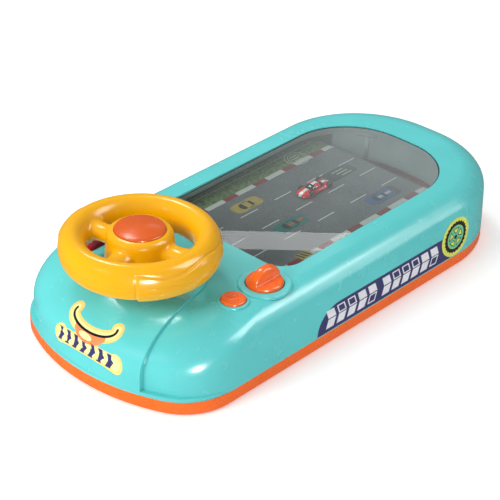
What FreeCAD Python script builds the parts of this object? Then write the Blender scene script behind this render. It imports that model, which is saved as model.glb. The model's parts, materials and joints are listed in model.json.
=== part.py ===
"""Tabletop steering-wheel racing game: a scrolling road under a window, with a magnet-driven car.

Axes: X to the player's right, Y away from the player, Z up. The origin is the centre of the footprint,
on the plane that the rubber feet stand on. All lengths are in millimetres and all angles in degrees.
"""
import FreeCAD, Part
import math
import os

V = FreeCAD.Vector
Z_AXIS = V(0, 0, 1)
ORIGIN = V(0, 0, 0)

# ---------------------------------------------------------------- driving dimensions
# Footprint, shared by the lower case and the foot of the upper case
LENGTH = 330.0
HALF_WIDTH = 76.8
FRONT_BULGE = 25.0
BACK_BULGE = 7.0
FRONT_CORNER = 37.0
BACK_CORNER = 70.0
FRONT_Y = -LENGTH / 2
BACK_Y = LENGTH / 2

# Case shells
WALL = 2.2
SKIRT_Z = 0.4
FLOOR_Z = 1.6
FLOOR_TOP = 3.8
SEAM_Z = 9.2
FOOT_FLANGE = 2.4
FLANGE_TUCK = 0.6
TOP_Z = 49.0
TOP_SLOPE = 0.0155
DRAFT = 0.03
SIDE_SHOULDER_Z = 34.0
SIDE_REACH = 14.0
BACK_REACH = 19.0
FRONT_SHOULDER_Z = 24.0
FRONT_REACH = 45.0
FENDER_STEP = 3.0
TONGUE_RISE = 1.2
LIP_GAP = 0.25
LIP_WALL = 1.4
LIP_HEIGHT = 2.3

# Window
WINDOW_HALF = 53.4
WINDOW_FRONT = -50.9
WINDOW_BACK = 127.4
WINDOW_FRONT_CORNER = 15.0
WINDOW_BACK_CORNER = 44.0
WINDOW_BACK_BULGE = 7.0
WINDOW_Z = 47.75
WINDOW_SLOPE = 0.020
LENS_THICK = 1.5
LENS_LAP = 2.6
SEAT_GAP = 0.2

# Cavity frame round the road
FRAME_INSIDE = 4.4
FRAME_WALL = 1.6
FRAME_LEDGE = 1.0
FRAME_LEDGE_THICK = 1.4
FRAME_CLEAR = 1.5
FRAME_BACK_Z = 24.0
FRAME_BACK_Y = 112.5

# Road belt on its two rollers
ROAD_Z = 38.7
ROAD_SLOPE = 0.0139
BELT_THICK = 0.4
BELT_HALF = 57.0
BELT_GAP = 0.05
ROLLER_R = 10.6
ROLLER_HALF = 56.6
IDLER_Y = -48.0
DRIVE_Y = 98.0
SHAFT_R = 2.0
RUN_FIT = 0.05
BED_THICK = 1.4
BED_FRONT = -42.0
BED_BACK = 91.5

# Side plates of the road chassis
PLATE_X = 58.2
PLATE_THICK = 1.5
PLATE_FRONT = -61.0
PLATE_BACK = 111.0
PLATE_FOOT_Z = 8.0
PLATE_TOP = 36.3
TAB_Y = (-52.0, 10.0, 107.5)
TAB_X = 63.0

# Steering
WHEEL_Y = -115.3
WHEEL_Z = 71.0
WHEEL_REST = 14.0
RIM_R = 39.0
RIM_HALF_WIDE = 8.2
RIM_HALF_TALL = 11.0
RIM_SKIN = 2.0
GRIP_RISE = 0.7
GRIP_SPAN = (-60.0, 25.0)
HUB_R = 21.3
HUB_TOP_R = 19.3
HUB_Z = 57.5
HUB_TOP = 81.8
SPOKE_WIDE = 15.0
SPOKE_Z = (66.0, 78.0)
SPOKE_AT = (0.0, 180.0, 270.0)
WHEEL_SCREW_R = 24.5
WHEEL_SCREW_SEAT = 2.4
HORN_R = 15.0
HORN_TRAVEL = 2.5
STEER_SHAFT_R = 4.0
CORD_Z = 27.0
CORD_HALF = 0.35
CORD_DRUM_R = 32.0
CORD_DRUM_HALF = 2.8
CORD_DRUM_GROOVE = 1.6
CORD_DRUM_RIM = 2.0
PULLEY_R = 4.5
PULLEY_X = 65.5
FRONT_PULLEY_Y = -80.0
SIDE_PULLEY_Y = 48.0
PULLEY_PIN_R = 1.5
BRIDGE_Z = 20.6

# Car and its carriage
CAR_X = -9.0
CAR_Y = 48.0
CAR_LENGTH = 29.0
CAR_WIDTH = 11.5
CAR_HEIGHT = 5.8
ROD_Y = (42.0, 57.0)
ROD_R = 1.5
CARRIAGE_HALF = 10.0

# Belt drive
MODULE = 0.6
PRESSURE = 25.0
BACKLASH = 0.06
PINION_TEETH = 10
FIRST_TEETH = 30
WHEEL_TEETH = 36
NEAR_PLANE = (62.2, 65.4)
FAR_PLANE = (66.2, 69.2)
GEAR_B_ANGLE = -115.8
GEAR_A_ANGLE = 173.0
MOTOR_ANGLE = 119.0
GEAR_PIN_R = 1.5
GEAR_HUB_R = 2.25
PIN_HEAD_R = 2.4
ADDENDUM = 0.85
DEDENDUM = 1.15
MOTOR_R = 10.0
MOTOR_FLAT = 7.5
MOTOR_SHAFT_R = 1.0
MOTOR_NOSE_R = 1.4

# Controls
KNOB_AT = (54.0, -68.0)
KNOB_R = 11.3
KNOB_HOLE_R = 11.8
KNOB_RING_R = 16.0
KNOB_DECK = 1.8
KNOB_GRIP_HALF = 3.2
BUTTON_AT = (53.0, -93.0)
BUTTON_R = 7.5
BUTTON_HOLE_R = 7.8
BUTTON_TRAVEL = 2.0
BUTTON_DECK = 2.0
KEEPER_LOW = 4.0
LEVER_AT = (-50.0, -104.0)
LEVER_TRAVEL = 10.0
BOARD_Z = 32.0
BOARD_THICK = 1.6

# Fasteners and posts
CASE_POSTS = ((62.0, -122.0), (64.6, -20.0), (50.0, 140.0))
POST_R = 3.2
SCREW_R = 1.4
SCREW_HEAD_R = 2.6
SCREW_HEAD = 1.6
SCREW_FIT = 0.05
PIN_FIT = 0.02
PRESS_FIT = 0.01
FOOT_AT = ((60.0, -100.0), (30.0, 150.0))
FOOT_R = 6.0

# Steering column, lever pocket and control rings
COLUMN_R = 9.0
COLUMN_LOW = 38.0
COLUMN_TOP = 54.5
BUSH_R = 7.0
KNOB_RING_RISE = 1.0
BUTTON_RING_RISE = 0.6
LEVER_WELL_HALF = 6.5
LEVER_WELL_REACH = 7.0
LEVER_FLOOR = 43.5

# Screwed joints inside the case
CASE_POST_Z = 10.0
CASE_SCREW_Z = 5.0
CASE_SCREW_LENGTH = 14.0
TRIM_TAB_Z = 42.6
TRIM_POST_R = 3.0
PAD_R = 4.0
SHORT_SCREW = 4.2
BOARD_PAD_Z = 8.8
DOOR_SCREW = (0.0, -88.5)
DOOR_BOSS_Z = 12.0
DOOR_SEAT_Z = 2.5

# Battery box, door and loudspeaker
BATTERY_X = (-33.0, 33.0)
BATTERY_Y = (-146.0, -92.0)
BATTERY_ROOF = 20.1
CELL_R = 7.1
CELL_HALF = 24.6
CELL_PITCH = 15.4
CELL_Z = 11.2
CELL_NUB_R = 2.6
CELL_NUB = 1.0
CONTACT_THICK = 0.4
CONTACT_HALF = 5.0
CONTACT_SPRING_R = 3.0
CONTACT_WIRE_R = 0.3
CONTACT_GAP = 0.05
DOOR_X = (-32.3, 32.3)
DOOR_Y = (-145.3, -92.7)
DOOR_TOP = 3.4
DOOR_GAP = 0.2
BOX_WALL = 1.5
DOOR_TAB_HALF = 6.0
DOOR_TAB_Y = -83.5
SPEAKER_AT = (-24.0, 10.0)
SPEAKER_R = 20.0
GRILLE_HOLE_R = 1.1
SEAT_SHIM = 0.05
PULLEY_LOW = 24.3
PULLEY_TOP = 29.5
BRIDGE_THICK = 1.8
BUSH_BODY_R = 3.5
MOTOR_X = (32.6, 57.9)
MAGNET_R = 6.0
MAGNET_TOP = 36.9
MAGNET_THICK = 2.96
CAR_MAGNET_R = 3.5
CAR_MAGNET_THICK = 1.5
WIRE_R = 0.7

# Horn stack in the wheel hub, and the stems of the controls
HUB_INSIDE_R = 17.0
HORN_LIP_Z = 79.0
HORN_FLANGE_Z = 77.4
HORN_STEM_Z = 76.3
HORN_PLATE_Z = 71.75
HORN_DOME = 1.8
SOCKET_TOP = 70.0
KNOB_STEM_Z = 38.6
BUTTON_STEM_Z = 39.9
LEVER_STEM_Z = 39.4
LEVER_HEIGHT = 9.2
LEVER_CAP_HALF = (4.5, 10.0)
LEVER_BLADE_HALF = (1.2, 5.0)


# ---------------------------------------------------------------- geometry helpers
def box(x, y, z):
    """Block between the two values of each axis."""
    corner = V(min(x), min(y), min(z))
    return Part.makeBox(abs(x[1] - x[0]), abs(y[1] - y[0]), abs(z[1] - z[0]), corner)


def post(radius, x, y, z):
    """Upright cylinder between the two heights in z."""
    return Part.makeCylinder(radius, z[1] - z[0], V(x, y, z[0]), Z_AXIS)


def ring(outer, inner, x, y, z):
    """Upright tube."""
    return post(outer, x, y, z).cut(post(inner, x, y, z))


def screw_hole(x, y, z):
    """Hole that a screw's shank fits."""
    return post(SCREW_R + SCREW_FIT, x, y, z)


def bar(radius, x, y, z):
    """Cylinder along X between the two values in x."""
    return Part.makeCylinder(radius, x[1] - x[0], V(x[0], y, z), V(1, 0, 0))


def join(shapes):
    """One solid from touching or overlapping solids."""
    shapes = list(shapes)
    return shapes[0].fuse(shapes[1:]).removeSplitter()


def widened(span, by):
    """A (low, high) span, made wider by the same amount at both ends."""
    return span[0] - by, span[1] + by


def mirrored(points):
    """The given (x, y) places and their mirror images in X."""
    return [(side * x, y) for x, y in points for side in (1, -1)]


def save(name, shape):
    """Writes one sub-part. A list becomes a group of separate solids."""
    if isinstance(shape, list):
        shape = Part.makeCompound(shape)
    shape.exportStep(os.path.join("parts", name + ".step"))


def rounded_end(half, end, corner, bulge):
    """Centre line data of a bulged end: tangent point on the bulge, corner middle and side point.

    end is the signed y of the bulge's crest; the end faces away from the origin.
    """
    side = -1 if end < 0 else 1
    if bulge < 0.01:
        tangent = (half - corner, end)
        centre = (half - corner, end - side * corner)
    else:
        radius = (half * half + bulge * bulge) / (2 * bulge)
        crest_centre = end - side * radius
        reach = math.sqrt((radius - corner) ** 2 - (half - corner) ** 2)
        centre = (half - corner, crest_centre + side * reach)
        lean = math.atan2(centre[0], reach)
        tangent = (radius * math.sin(lean), crest_centre + side * radius * math.cos(lean))
    start = math.atan2(tangent[1] - centre[1], tangent[0] - centre[0])
    middle = start / 2
    half_way = (centre[0] + corner * math.cos(middle), centre[1] + corner * math.sin(middle))
    return tangent, half_way, (half, centre[1])


def outline(half, front, back, front_corner, back_corner, front_bulge, back_bulge, z):
    """Closed wire, symmetric in X: straight sides, bulged ends and tangent corner arcs."""
    f_tan, f_mid, f_side = rounded_end(half, front, front_corner, front_bulge)
    b_tan, b_mid, b_side = rounded_end(half, back, back_corner, back_bulge)

    def at(point, side=1):
        return V(side * point[0], point[1], z)

    def arc(a, b, c):
        return Part.Arc(a, b, c).toShape()

    def across(tangent, crest):
        a, c = at(tangent, -1), at(tangent)
        if abs(tangent[1] - crest) < 1e-6:
            return a, c, Part.makeLine(a, c)
        return a, c, arc(a, V(0, crest, z), c)

    edges = [
        across(f_tan, front)[2],
        arc(at(f_tan), at(f_mid), at(f_side)),
        Part.makeLine(at(f_side), at(b_side)),
        arc(at(b_side), at(b_mid), at(b_tan)),
        across(b_tan, back)[2],
        arc(at(b_tan, -1), at(b_mid, -1), at(b_side, -1)),
        Part.makeLine(at(b_side, -1), at(f_side, -1)),
        arc(at(f_side, -1), at(f_mid, -1), at(f_tan, -1)),
    ]
    return Part.Wire(Part.__sortEdges__(edges))


def slab(wire, height):
    """Solid from a flat closed wire, raised by height."""
    return Part.Face(wire).extrude(V(0, 0, height))


def sheared(shape, slope, lift=0.0):
    """Tilts every level of a shape by slope along Y, and raises it by lift."""
    tilt = FreeCAD.Matrix(1, 0, 0, 0, 0, 1, 0, 0, 0, slope, 1, lift, 0, 0, 0, 1)
    return shape.transformGeometry(tilt)


def base_outline(inset, z, front_gap=0.0):
    """Footprint outline, moved inwards by inset. front_gap moves only its front end."""
    return outline(
        HALF_WIDTH - inset, FRONT_Y + inset + front_gap, BACK_Y - inset,
        FRONT_CORNER - inset, BACK_CORNER - inset, FRONT_BULGE, BACK_BULGE, z)


def window_outline(grow, z):
    """Window outline, moved outwards by grow."""
    return outline(
        WINDOW_HALF + grow, WINDOW_FRONT - grow, WINDOW_BACK + grow,
        WINDOW_FRONT_CORNER + grow, WINDOW_BACK_CORNER + grow, 0.0, WINDOW_BACK_BULGE, z)


def top_z(y):
    """Height of the flat top of the upper case."""
    return TOP_Z + TOP_SLOPE * y


def road_z(y):
    """Height of the printed face of the top run."""
    return ROAD_Z + ROAD_SLOPE * y


def turned_to_x(shape, x, y, z):
    """Takes a shape drawn round the Z axis and sets it round an axis along X."""
    shape = shape.copy()
    shape.rotate(ORIGIN, V(1, 1, 1), 120)
    shape.translate(V(x, y, z))
    return shape


def at_angle(origin, distance, angle):
    """Point in the YZ plane at a distance and angle from origin; the angle runs from +Y to +Z."""
    turn = math.radians(angle)
    return origin[0] + distance * math.cos(turn), origin[1] + distance * math.sin(turn)


# ---------------------------------------------------------------- places worked out from the dimensions
BELT_OUT_R = ROLLER_R + BELT_GAP + BELT_THICK
IDLER = (IDLER_Y, road_z(IDLER_Y) - BELT_OUT_R)
DRIVE = (DRIVE_Y, road_z(DRIVE_Y) - BELT_OUT_R)
PINION_PITCH_R = MODULE * PINION_TEETH / 2
FIRST_PITCH_R = MODULE * FIRST_TEETH / 2
WHEEL_PITCH_R = MODULE * WHEEL_TEETH / 2
GEAR_B = at_angle(DRIVE, WHEEL_PITCH_R + PINION_PITCH_R, GEAR_B_ANGLE)
GEAR_A = at_angle(GEAR_B, WHEEL_PITCH_R + PINION_PITCH_R, GEAR_A_ANGLE)
MOTOR = at_angle(GEAR_A, FIRST_PITCH_R + PINION_PITCH_R, MOTOR_ANGLE)
PLATE_OUT = PLATE_X + PLATE_THICK
CORD_Y = SIDE_PULLEY_Y + PULLEY_R
ALL_CASE_POSTS = mirrored(CASE_POSTS)
TRIM_AT = mirrored(((62.6, -38.0), (62.6, 75.0)))
BOARD_POSTS = [(40.0, -99.0), (37.5, -74.0), (-36.0, -90.0), (-64.0, -96.0)]
MAIN_BOARD_POSTS = [(8.0, -34.0), (48.0, -34.0), (8.0, -2.0), (48.0, -2.0)]
BRIDGE_AT = mirrored(((38.0, -100.0), (38.0, -138.0)))
TABS = mirrored([(TAB_X, y) for y in TAB_Y])
PULLEY_AT = mirrored(((PULLEY_X, FRONT_PULLEY_Y), (PULLEY_X, SIDE_PULLEY_Y)))


# ---------------------------------------------------------------- case shells
def shoulder(z, start, reach):
    """Inset of an elliptical shoulder that starts at height start and lies flat at the top."""
    rise = max(0.0, min(1.0, (z - start) / (TOP_Z - start)))
    return reach * (1 - math.sqrt(1 - rise * rise))


def case_section(z, front_gap, thickness, drop):
    """Outline of the upper case at height z, moved in by thickness and down by drop."""
    draft = DRAFT * max(0.0, z - SEAM_Z)
    side = draft + shoulder(z, SIDE_SHOULDER_Z, SIDE_REACH)
    front = draft + shoulder(z, FRONT_SHOULDER_Z, FRONT_REACH)
    back = draft + shoulder(z, SIDE_SHOULDER_Z, BACK_REACH)
    half = HALF_WIDTH - side - thickness
    crown = (HALF_WIDTH ** 2 + FRONT_BULGE ** 2) / (2 * FRONT_BULGE)
    bulge = crown - math.sqrt(crown * crown - half * half)
    return outline(
        half, FRONT_Y + front + front_gap + thickness, BACK_Y - back - thickness,
        FRONT_CORNER + front / 4 - thickness, BACK_CORNER - side - thickness,
        bulge, BACK_BULGE, z - drop)


def case_form(front_gap, thickness, lift):
    """Lofted pillow of the upper case, from the seam to the flat top."""
    rise = (SIDE_SHOULDER_Z - SEAM_Z) / 5
    sections = [case_section(SEAM_Z + i * rise, front_gap, thickness, 0.0) for i in range(-1, 6)]
    for angle in (15, 30, 45, 60, 75, 90):
        turn = math.radians(angle)
        z = SIDE_SHOULDER_Z + (TOP_Z - SIDE_SHOULDER_Z) * math.sin(turn)
        sections.append(case_section(z, front_gap, thickness * math.cos(turn), thickness * math.sin(turn)))
    form = sheared(Part.makeLoft(sections, True, False), TOP_SLOPE, lift)
    return form.common(box((-200, 200), (-300, 300), (SEAM_Z, 100)))


def tongue_prism():
    """Plan shape of the raised centre tongue, from the front edge to behind the steering column."""
    half_at = ((-175, 42.5), (-152, 42.5), (-142, 41.0), (-130, 39.0), (-113, 36.0), (-99, 33.0))
    edge = [V(half, y, 0) for y, half in half_at]
    mirror = [V(-p.x, p.y, 0) for p in edge]
    right = Part.BSplineCurve()
    right.interpolate(edge)
    left = Part.BSplineCurve()
    left.interpolate(mirror)
    back = Part.Arc(edge[-1], V(0, -74, 0), mirror[-1]).toShape()
    front = Part.makeLine(mirror[0], edge[0])
    loop = Part.Wire(Part.__sortEdges__([right.toShape(), back, left.toShape(), front]))
    return slab(loop, 100)


def case_outer():
    """Outer form of the upper case: fenders set back behind the centre tongue, on a foot flange in front."""
    fenders = case_form(FENDER_STEP, 0.0, 0.0)
    tongue = case_form(0.0, 0.0, TONGUE_RISE).common(tongue_prism())
    foot = outline(
        HALF_WIDTH - FLANGE_TUCK, FRONT_Y, BACK_Y - FLANGE_TUCK, FRONT_CORNER - FLANGE_TUCK,
        BACK_CORNER - FLANGE_TUCK, FRONT_BULGE, BACK_BULGE, SEAM_Z)
    return fenders.fuse([tongue, slab(foot, FOOT_FLANGE)])


def knob_ring(place, outer, inner, rise):
    """Raised moulded ring with a rounded outer edge round a control."""
    x, y = place
    crown = top_z(y) + rise
    body = ring(outer, inner, x, y, (top_z(y) - WALL / 2, crown))
    upper = [e for e in body.Edges if e.BoundBox.ZMin > crown - 0.01]
    crest = [e for e in upper if e.BoundBox.XLength > 2 * inner + 1]
    return body.makeFillet(rise * 0.8, crest)


def lever_well(grow, low):
    """Pocket that the speed lever slides in, grown outwards by grow and down to the height low."""
    x, y = LEVER_AT
    half = LEVER_WELL_HALF + grow
    z = (low, TOP_Z + 5)
    end_y = (y - LEVER_WELL_REACH, y + LEVER_WELL_REACH + LEVER_TRAVEL)
    return join([post(half, x, end, z) for end in end_y] + [box((x - half, x + half), end_y, z)])


def upper_case():
    """Teal upper shell with the window opening, control openings, steering boss and screw posts."""
    outer = case_outer()
    shell = outer.cut(case_form(FENDER_STEP, WALL, 0.0))
    posts = [post(POST_R, x, y, (CASE_POST_Z, TOP_Z + 4)) for x, y in ALL_CASE_POSTS]
    posts += [post(TRIM_POST_R, x, y, (TRIM_TAB_Z + FRAME_LEDGE_THICK, TOP_Z + 4)) for x, y in TRIM_AT]
    posts += [post(TRIM_POST_R, x, y, (BOARD_Z + BOARD_THICK, TOP_Z + 4)) for x, y in BOARD_POSTS]
    posts.append(post(COLUMN_R, 0, WHEEL_Y, (COLUMN_LOW, TOP_Z + 4)))
    posts.append(lever_well(WALL, LEVER_FLOOR - WALL))
    shell = shell.fuse([p.common(outer) for p in posts])
    shell = shell.fuse([
        post(COLUMN_R, 0, WHEEL_Y, (TOP_Z - 3, COLUMN_TOP)),
        knob_ring(KNOB_AT, KNOB_RING_R, KNOB_HOLE_R, KNOB_RING_RISE),
        knob_ring(BUTTON_AT, BUTTON_R + 2.0, BUTTON_HOLE_R, BUTTON_RING_RISE),
    ])
    holes = [
        slab(window_outline(0.0, TOP_Z - 8), 20),
        sheared(slab(window_outline(LENS_LAP + SEAT_GAP, WINDOW_Z - 12), 12), WINDOW_SLOPE),
        post(BUSH_R + PIN_FIT, 0, WHEEL_Y, (COLUMN_LOW - 1, COLUMN_TOP + 1)),
        post(KNOB_HOLE_R, KNOB_AT[0], KNOB_AT[1], (TOP_Z - 6, TOP_Z + 5)),
        post(BUTTON_HOLE_R, BUTTON_AT[0], BUTTON_AT[1], (TOP_Z - 6, TOP_Z + 5)),
        lever_well(0.0, LEVER_FLOOR),
        box((LEVER_AT[0] - 1.6, LEVER_AT[0] + 1.6), (LEVER_AT[1] - 6, LEVER_AT[1] + 6 + LEVER_TRAVEL),
            (LEVER_FLOOR - 5, LEVER_FLOOR + 1)),
    ]
    case_hole_z = (CASE_POST_Z - 1, CASE_SCREW_Z + CASE_SCREW_LENGTH + 1)
    holes += [screw_hole(x, y, case_hole_z) for x, y in ALL_CASE_POSTS]
    holes += [screw_hole(x, y, (TRIM_TAB_Z, TRIM_TAB_Z + 4.5)) for x, y in TRIM_AT]
    holes += [screw_hole(x, y, (BOARD_Z, BOARD_Z + 9)) for x, y in BOARD_POSTS]
    return shell.cut(holes)


def lower_case():
    """Orange base tray with battery box, screw bosses, speaker ring, mounting pads and registering lip."""
    tray = slab(base_outline(0.0, SKIRT_Z), SEAM_Z - SKIRT_Z)
    bottom = [e for e in tray.Edges if e.BoundBox.ZMax < SKIRT_Z + 0.01]
    tray = tray.makeFillet(2.0, bottom)
    tray = tray.cut(slab(base_outline(WALL + 0.6, SKIRT_Z - 1), FLOOR_Z - SKIRT_Z + 1))
    tray = tray.cut(slab(base_outline(WALL, FLOOR_TOP), 20))
    lip = slab(base_outline(WALL + LIP_GAP, FLOOR_TOP, FENDER_STEP), SEAM_Z + LIP_HEIGHT - FLOOR_TOP)
    lip = lip.cut(slab(base_outline(WALL + LIP_GAP + LIP_WALL, FLOOR_TOP - 1, FENDER_STEP), 20))
    battery = box(BATTERY_X, BATTERY_Y, (FLOOR_TOP - 1, BATTERY_ROOF))
    bosses = [post(POST_R + 1.0, x, y, (FLOOR_TOP - 1, CASE_POST_Z - 0.05)) for x, y in ALL_CASE_POSTS]
    bosses += [post(PAD_R, x, y, (FLOOR_TOP - 1, PLATE_FOOT_Z)) for x, y in TABS]
    bosses += [post(PAD_R, x, y, (FLOOR_TOP - 1, BOARD_PAD_Z)) for x, y in MAIN_BOARD_POSTS]
    bosses += [post(PAD_R, x, y, (FLOOR_TOP - 1, BRIDGE_Z)) for x, y in BRIDGE_AT]
    bosses += [post(PAD_R, x, y, (FLOOR_TOP - 1, PULLEY_LOW - 0.3)) for x, y in PULLEY_AT]
    bosses.append(post(PAD_R, DOOR_SCREW[0], DOOR_SCREW[1], (FLOOR_TOP - 1, DOOR_BOSS_Z)))
    bosses.append(ring(SPEAKER_R + 2.0, SPEAKER_R + 0.3, *SPEAKER_AT, (FLOOR_TOP - 1, FLOOR_TOP + 4)))
    tray = tray.fuse([lip, battery] + bosses)
    door_z = (0, DOOR_TOP + 0.05)
    tab_x = widened((-DOOR_TAB_HALF, DOOR_TAB_HALF), DOOR_GAP)
    holes = [
        box(widened(BATTERY_X, -BOX_WALL), widened(BATTERY_Y, -BOX_WALL), (0, BATTERY_ROOF - BOX_WALL)),
        box(widened(DOOR_X, DOOR_GAP), widened(DOOR_Y, DOOR_GAP), door_z),
        box(tab_x, (DOOR_Y[1] - 1, DOOR_TAB_Y + DOOR_GAP), door_z),
        screw_hole(DOOR_SCREW[0], DOOR_SCREW[1], (0, DOOR_BOSS_Z - 1)),
    ]
    for x, y in ALL_CASE_POSTS:
        holes.append(post(SCREW_HEAD_R + 0.4, x, y, (0, CASE_SCREW_Z)))
        holes.append(screw_hole(x, y, (0, CASE_POST_Z + 1)))
    for x, y in TABS + MAIN_BOARD_POSTS + BRIDGE_AT:
        holes.append(screw_hole(x, y, (FLOOR_TOP + 0.2, BRIDGE_Z + 1)))
    holes += [post(PULLEY_PIN_R + PIN_FIT, x, y, (PULLEY_LOW - 12, PULLEY_LOW)) for x, y in PULLEY_AT]
    for count, reach in ((1, 0.0), (6, 5.0), (12, 10.0), (18, 15.0)):
        for i in range(count):
            turn = 2 * math.pi * i / count
            x, y = SPEAKER_AT[0] + reach * math.cos(turn), SPEAKER_AT[1] + reach * math.sin(turn)
            holes.append(post(GRILLE_HOLE_R, x, y, (0, FLOOR_TOP + 1)))
    return tray.cut(holes)


def window_lens():
    """Clear pane that seats from below in the window opening."""
    pane = slab(window_outline(LENS_LAP, WINDOW_Z - LENS_THICK), LENS_THICK)
    return sheared(pane, WINDOW_SLOPE, -SEAT_SHIM)


def cavity_frame():
    """Grey wall round the road under the window, with a ledge under the pane, a deep back wall and tabs."""
    top = WINDOW_Z - LENS_THICK - 3 * SEAT_SHIM
    low = ROAD_Z + FRAME_CLEAR
    wall = slab(window_outline(FRAME_INSIDE + FRAME_WALL, low), top - low)
    wall = wall.cut(slab(window_outline(FRAME_INSIDE, low - 1), top - low - FRAME_LEDGE_THICK + 1))
    wall = wall.cut(slab(window_outline(FRAME_LEDGE, low - 1), top - low + 2))
    wall = sheared(wall, WINDOW_SLOPE)
    deep = slab(window_outline(FRAME_INSIDE + FRAME_WALL, FRAME_BACK_Z), top - 2 - FRAME_BACK_Z)
    deep = deep.cut(slab(window_outline(FRAME_INSIDE, FRAME_BACK_Z - 1), 40))
    deep = deep.common(box((-100, 100), (FRAME_BACK_Y, 200), (0, 100)))
    tabs = []
    for x, y in TRIM_AT:
        side = 1 if x > 0 else -1
        inner = side * (WINDOW_HALF + FRAME_INSIDE + 0.5)
        z = (TRIM_TAB_Z, TRIM_TAB_Z + FRAME_LEDGE_THICK)
        tabs += [box((inner, x), (y - TRIM_POST_R, y + TRIM_POST_R), z), post(TRIM_POST_R, x, y, z)]
    frame = wall.fuse([deep] + tabs)
    return frame.cut([screw_hole(x, y, (TRIM_TAB_Z - 1, TRIM_TAB_Z + 3)) for x, y in TRIM_AT])


def battery_door():
    """Door under the battery box, with a screw tab at the back."""
    plate = box(DOOR_X, DOOR_Y, (FLOOR_Z, DOOR_TOP))
    tab = box((-DOOR_TAB_HALF, DOOR_TAB_HALF), (DOOR_Y[1] - 1, DOOR_TAB_Y), (FLOOR_Z, DOOR_TOP))
    grips = [box((-12, 12), (y, y + 1.2), (FLOOR_Z - 0.1, FLOOR_Z + 0.5)) for y in (-100, -104, -108)]
    x, y = DOOR_SCREW
    holes = [screw_hole(x, y, (0, 5)), post(SCREW_HEAD_R + 0.3, x, y, (0, DOOR_SEAT_Z))]
    return plate.fuse(tab).cut(grips + holes)


def screw(x, y, z, length, direction=1):
    """Pan-head screw whose head rests on height z, with its shank running up (1) or down (-1)."""
    head = Part.makeCylinder(SCREW_HEAD_R, SCREW_HEAD, V(x, y, z), V(0, 0, -direction))
    shank = Part.makeCylinder(SCREW_R, length, V(x, y, z), V(0, 0, direction))
    slot = Part.makeCylinder(0.9, 0.8, V(x, y, z - direction * SCREW_HEAD), V(0, 0, direction))
    return head.fuse(shank).cut(slot)


def case_screws():
    """The six long screws that hold the two cases together, from below."""
    return [screw(x, y, CASE_SCREW_Z, CASE_SCREW_LENGTH) for x, y in ALL_CASE_POSTS]


def small_screws():
    """All the short screws: frame tabs, control boards, main board, chassis tabs, bridge and battery door."""
    group = [screw(x, y, TRIM_TAB_Z, SHORT_SCREW) for x, y in TRIM_AT]
    group += [screw(x, y, BOARD_Z, SHORT_SCREW) for x, y in BOARD_POSTS]
    group += [screw(x, y, BOARD_PAD_Z + BOARD_THICK, SHORT_SCREW, -1) for x, y in MAIN_BOARD_POSTS]
    group += [screw(x, y, PLATE_FOOT_Z + PLATE_THICK, SHORT_SCREW, -1) for x, y in TABS]
    group += [screw(x, y, BRIDGE_Z + BRIDGE_THICK, SHORT_SCREW, -1) for x, y in BRIDGE_AT]
    group.append(screw(DOOR_SCREW[0], DOOR_SCREW[1], DOOR_SEAT_Z, SHORT_SCREW))
    return group


def rubber_feet():
    """Four round pads under the tray."""
    feet = []
    for x, y in mirrored(FOOT_AT):
        foot = post(FOOT_R, x, y, (0, FLOOR_Z))
        rim = [e for e in foot.Edges if e.BoundBox.ZMax < 0.01]
        feet.append(foot.makeFillet(0.5, rim))
    return feet


# ---------------------------------------------------------------- electrics
def coil(radius, wire, height, turns, place):
    """Compression spring as a helical wire, standing on place."""
    helix = Part.makeHelix(height / turns, height, radius)
    start = Part.Wire(Part.makeCircle(wire, V(radius, 0, 0), V(0, 1, 0)))
    spring = Part.Wire(helix.Edges).makePipeShell([start], True, True)
    spring.translate(place)
    return spring


def batteries():
    """Three AA cells, laid across the case and turned alternately."""
    cells = []
    middle = (BATTERY_Y[0] + BATTERY_Y[1]) / 2
    for i in (-1, 0, 1):
        y = middle + i * CELL_PITCH
        side = 1 if i % 2 else -1
        nub = bar(CELL_NUB_R, sorted((side * CELL_HALF, side * (CELL_HALF + CELL_NUB))), y, CELL_Z)
        cells.append(bar(CELL_R, (-CELL_HALF, CELL_HALF), y, CELL_Z).fuse(nub))
    return cells


def battery_contacts():
    """Flat contact plates at both ends of each cell, with a spring at each negative end."""
    face = BATTERY_X[1] - BOX_WALL - 2 * CONTACT_GAP
    free = face - CONTACT_THICK - CELL_HALF
    end = CONTACT_GAP + CONTACT_WIRE_R
    middle = (BATTERY_Y[0] + BATTERY_Y[1]) / 2
    group = []
    for i in (-1, 0, 1):
        y = middle + i * CELL_PITCH
        for side in (-1, 1):
            across, height = widened((y, y), CONTACT_HALF), widened((CELL_Z, CELL_Z), CONTACT_HALF)
            plate = box((side * face, side * (face - CONTACT_THICK)), across, height)
            if side == (-1 if i % 2 else 1):
                spring = coil(CONTACT_SPRING_R, CONTACT_WIRE_R, free - 2 * end, 4, ORIGIN)
                spring.rotate(ORIGIN, V(0, 1, 0), 90 * side)
                spring.translate(V(side * (CELL_HALF + end), y, CELL_Z))
                group += [plate, spring]
            else:
                tip = CELL_HALF + CELL_NUB + 2 * CONTACT_GAP
                nose = sorted((side * tip, side * (face - CONTACT_THICK / 2)))
                group.append(plate.fuse(bar(2.0, nose, y, CELL_Z)))
    return group


def speaker():
    """Loudspeaker, facing down on the grille: basket, cone frame and magnet."""
    x, y = SPEAKER_AT
    z = FLOOR_TOP + 0.05
    steps = ((SPEAKER_R, 0.0, 1.6), (SPEAKER_R - 3.0, 1.6, 4.0), (13.0, 4.0, 5.5), (10.0, 5.5, 9.5))
    return join([post(r, x, y, (z + low, z + high)) for r, low, high in steps])


def board(x, y, z, parts):
    """Circuit board with blocks soldered on; each block is (x range, y range, height, side)."""
    plate = box(x, y, (z, z + BOARD_THICK))
    blocks = []
    for px, py, height, side in parts:
        base = z + BOARD_THICK - 0.1 if side > 0 else z + 0.1
        blocks.append(box(px, py, (base, base + side * height)))
    return plate.fuse(blocks).removeSplitter()


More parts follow.
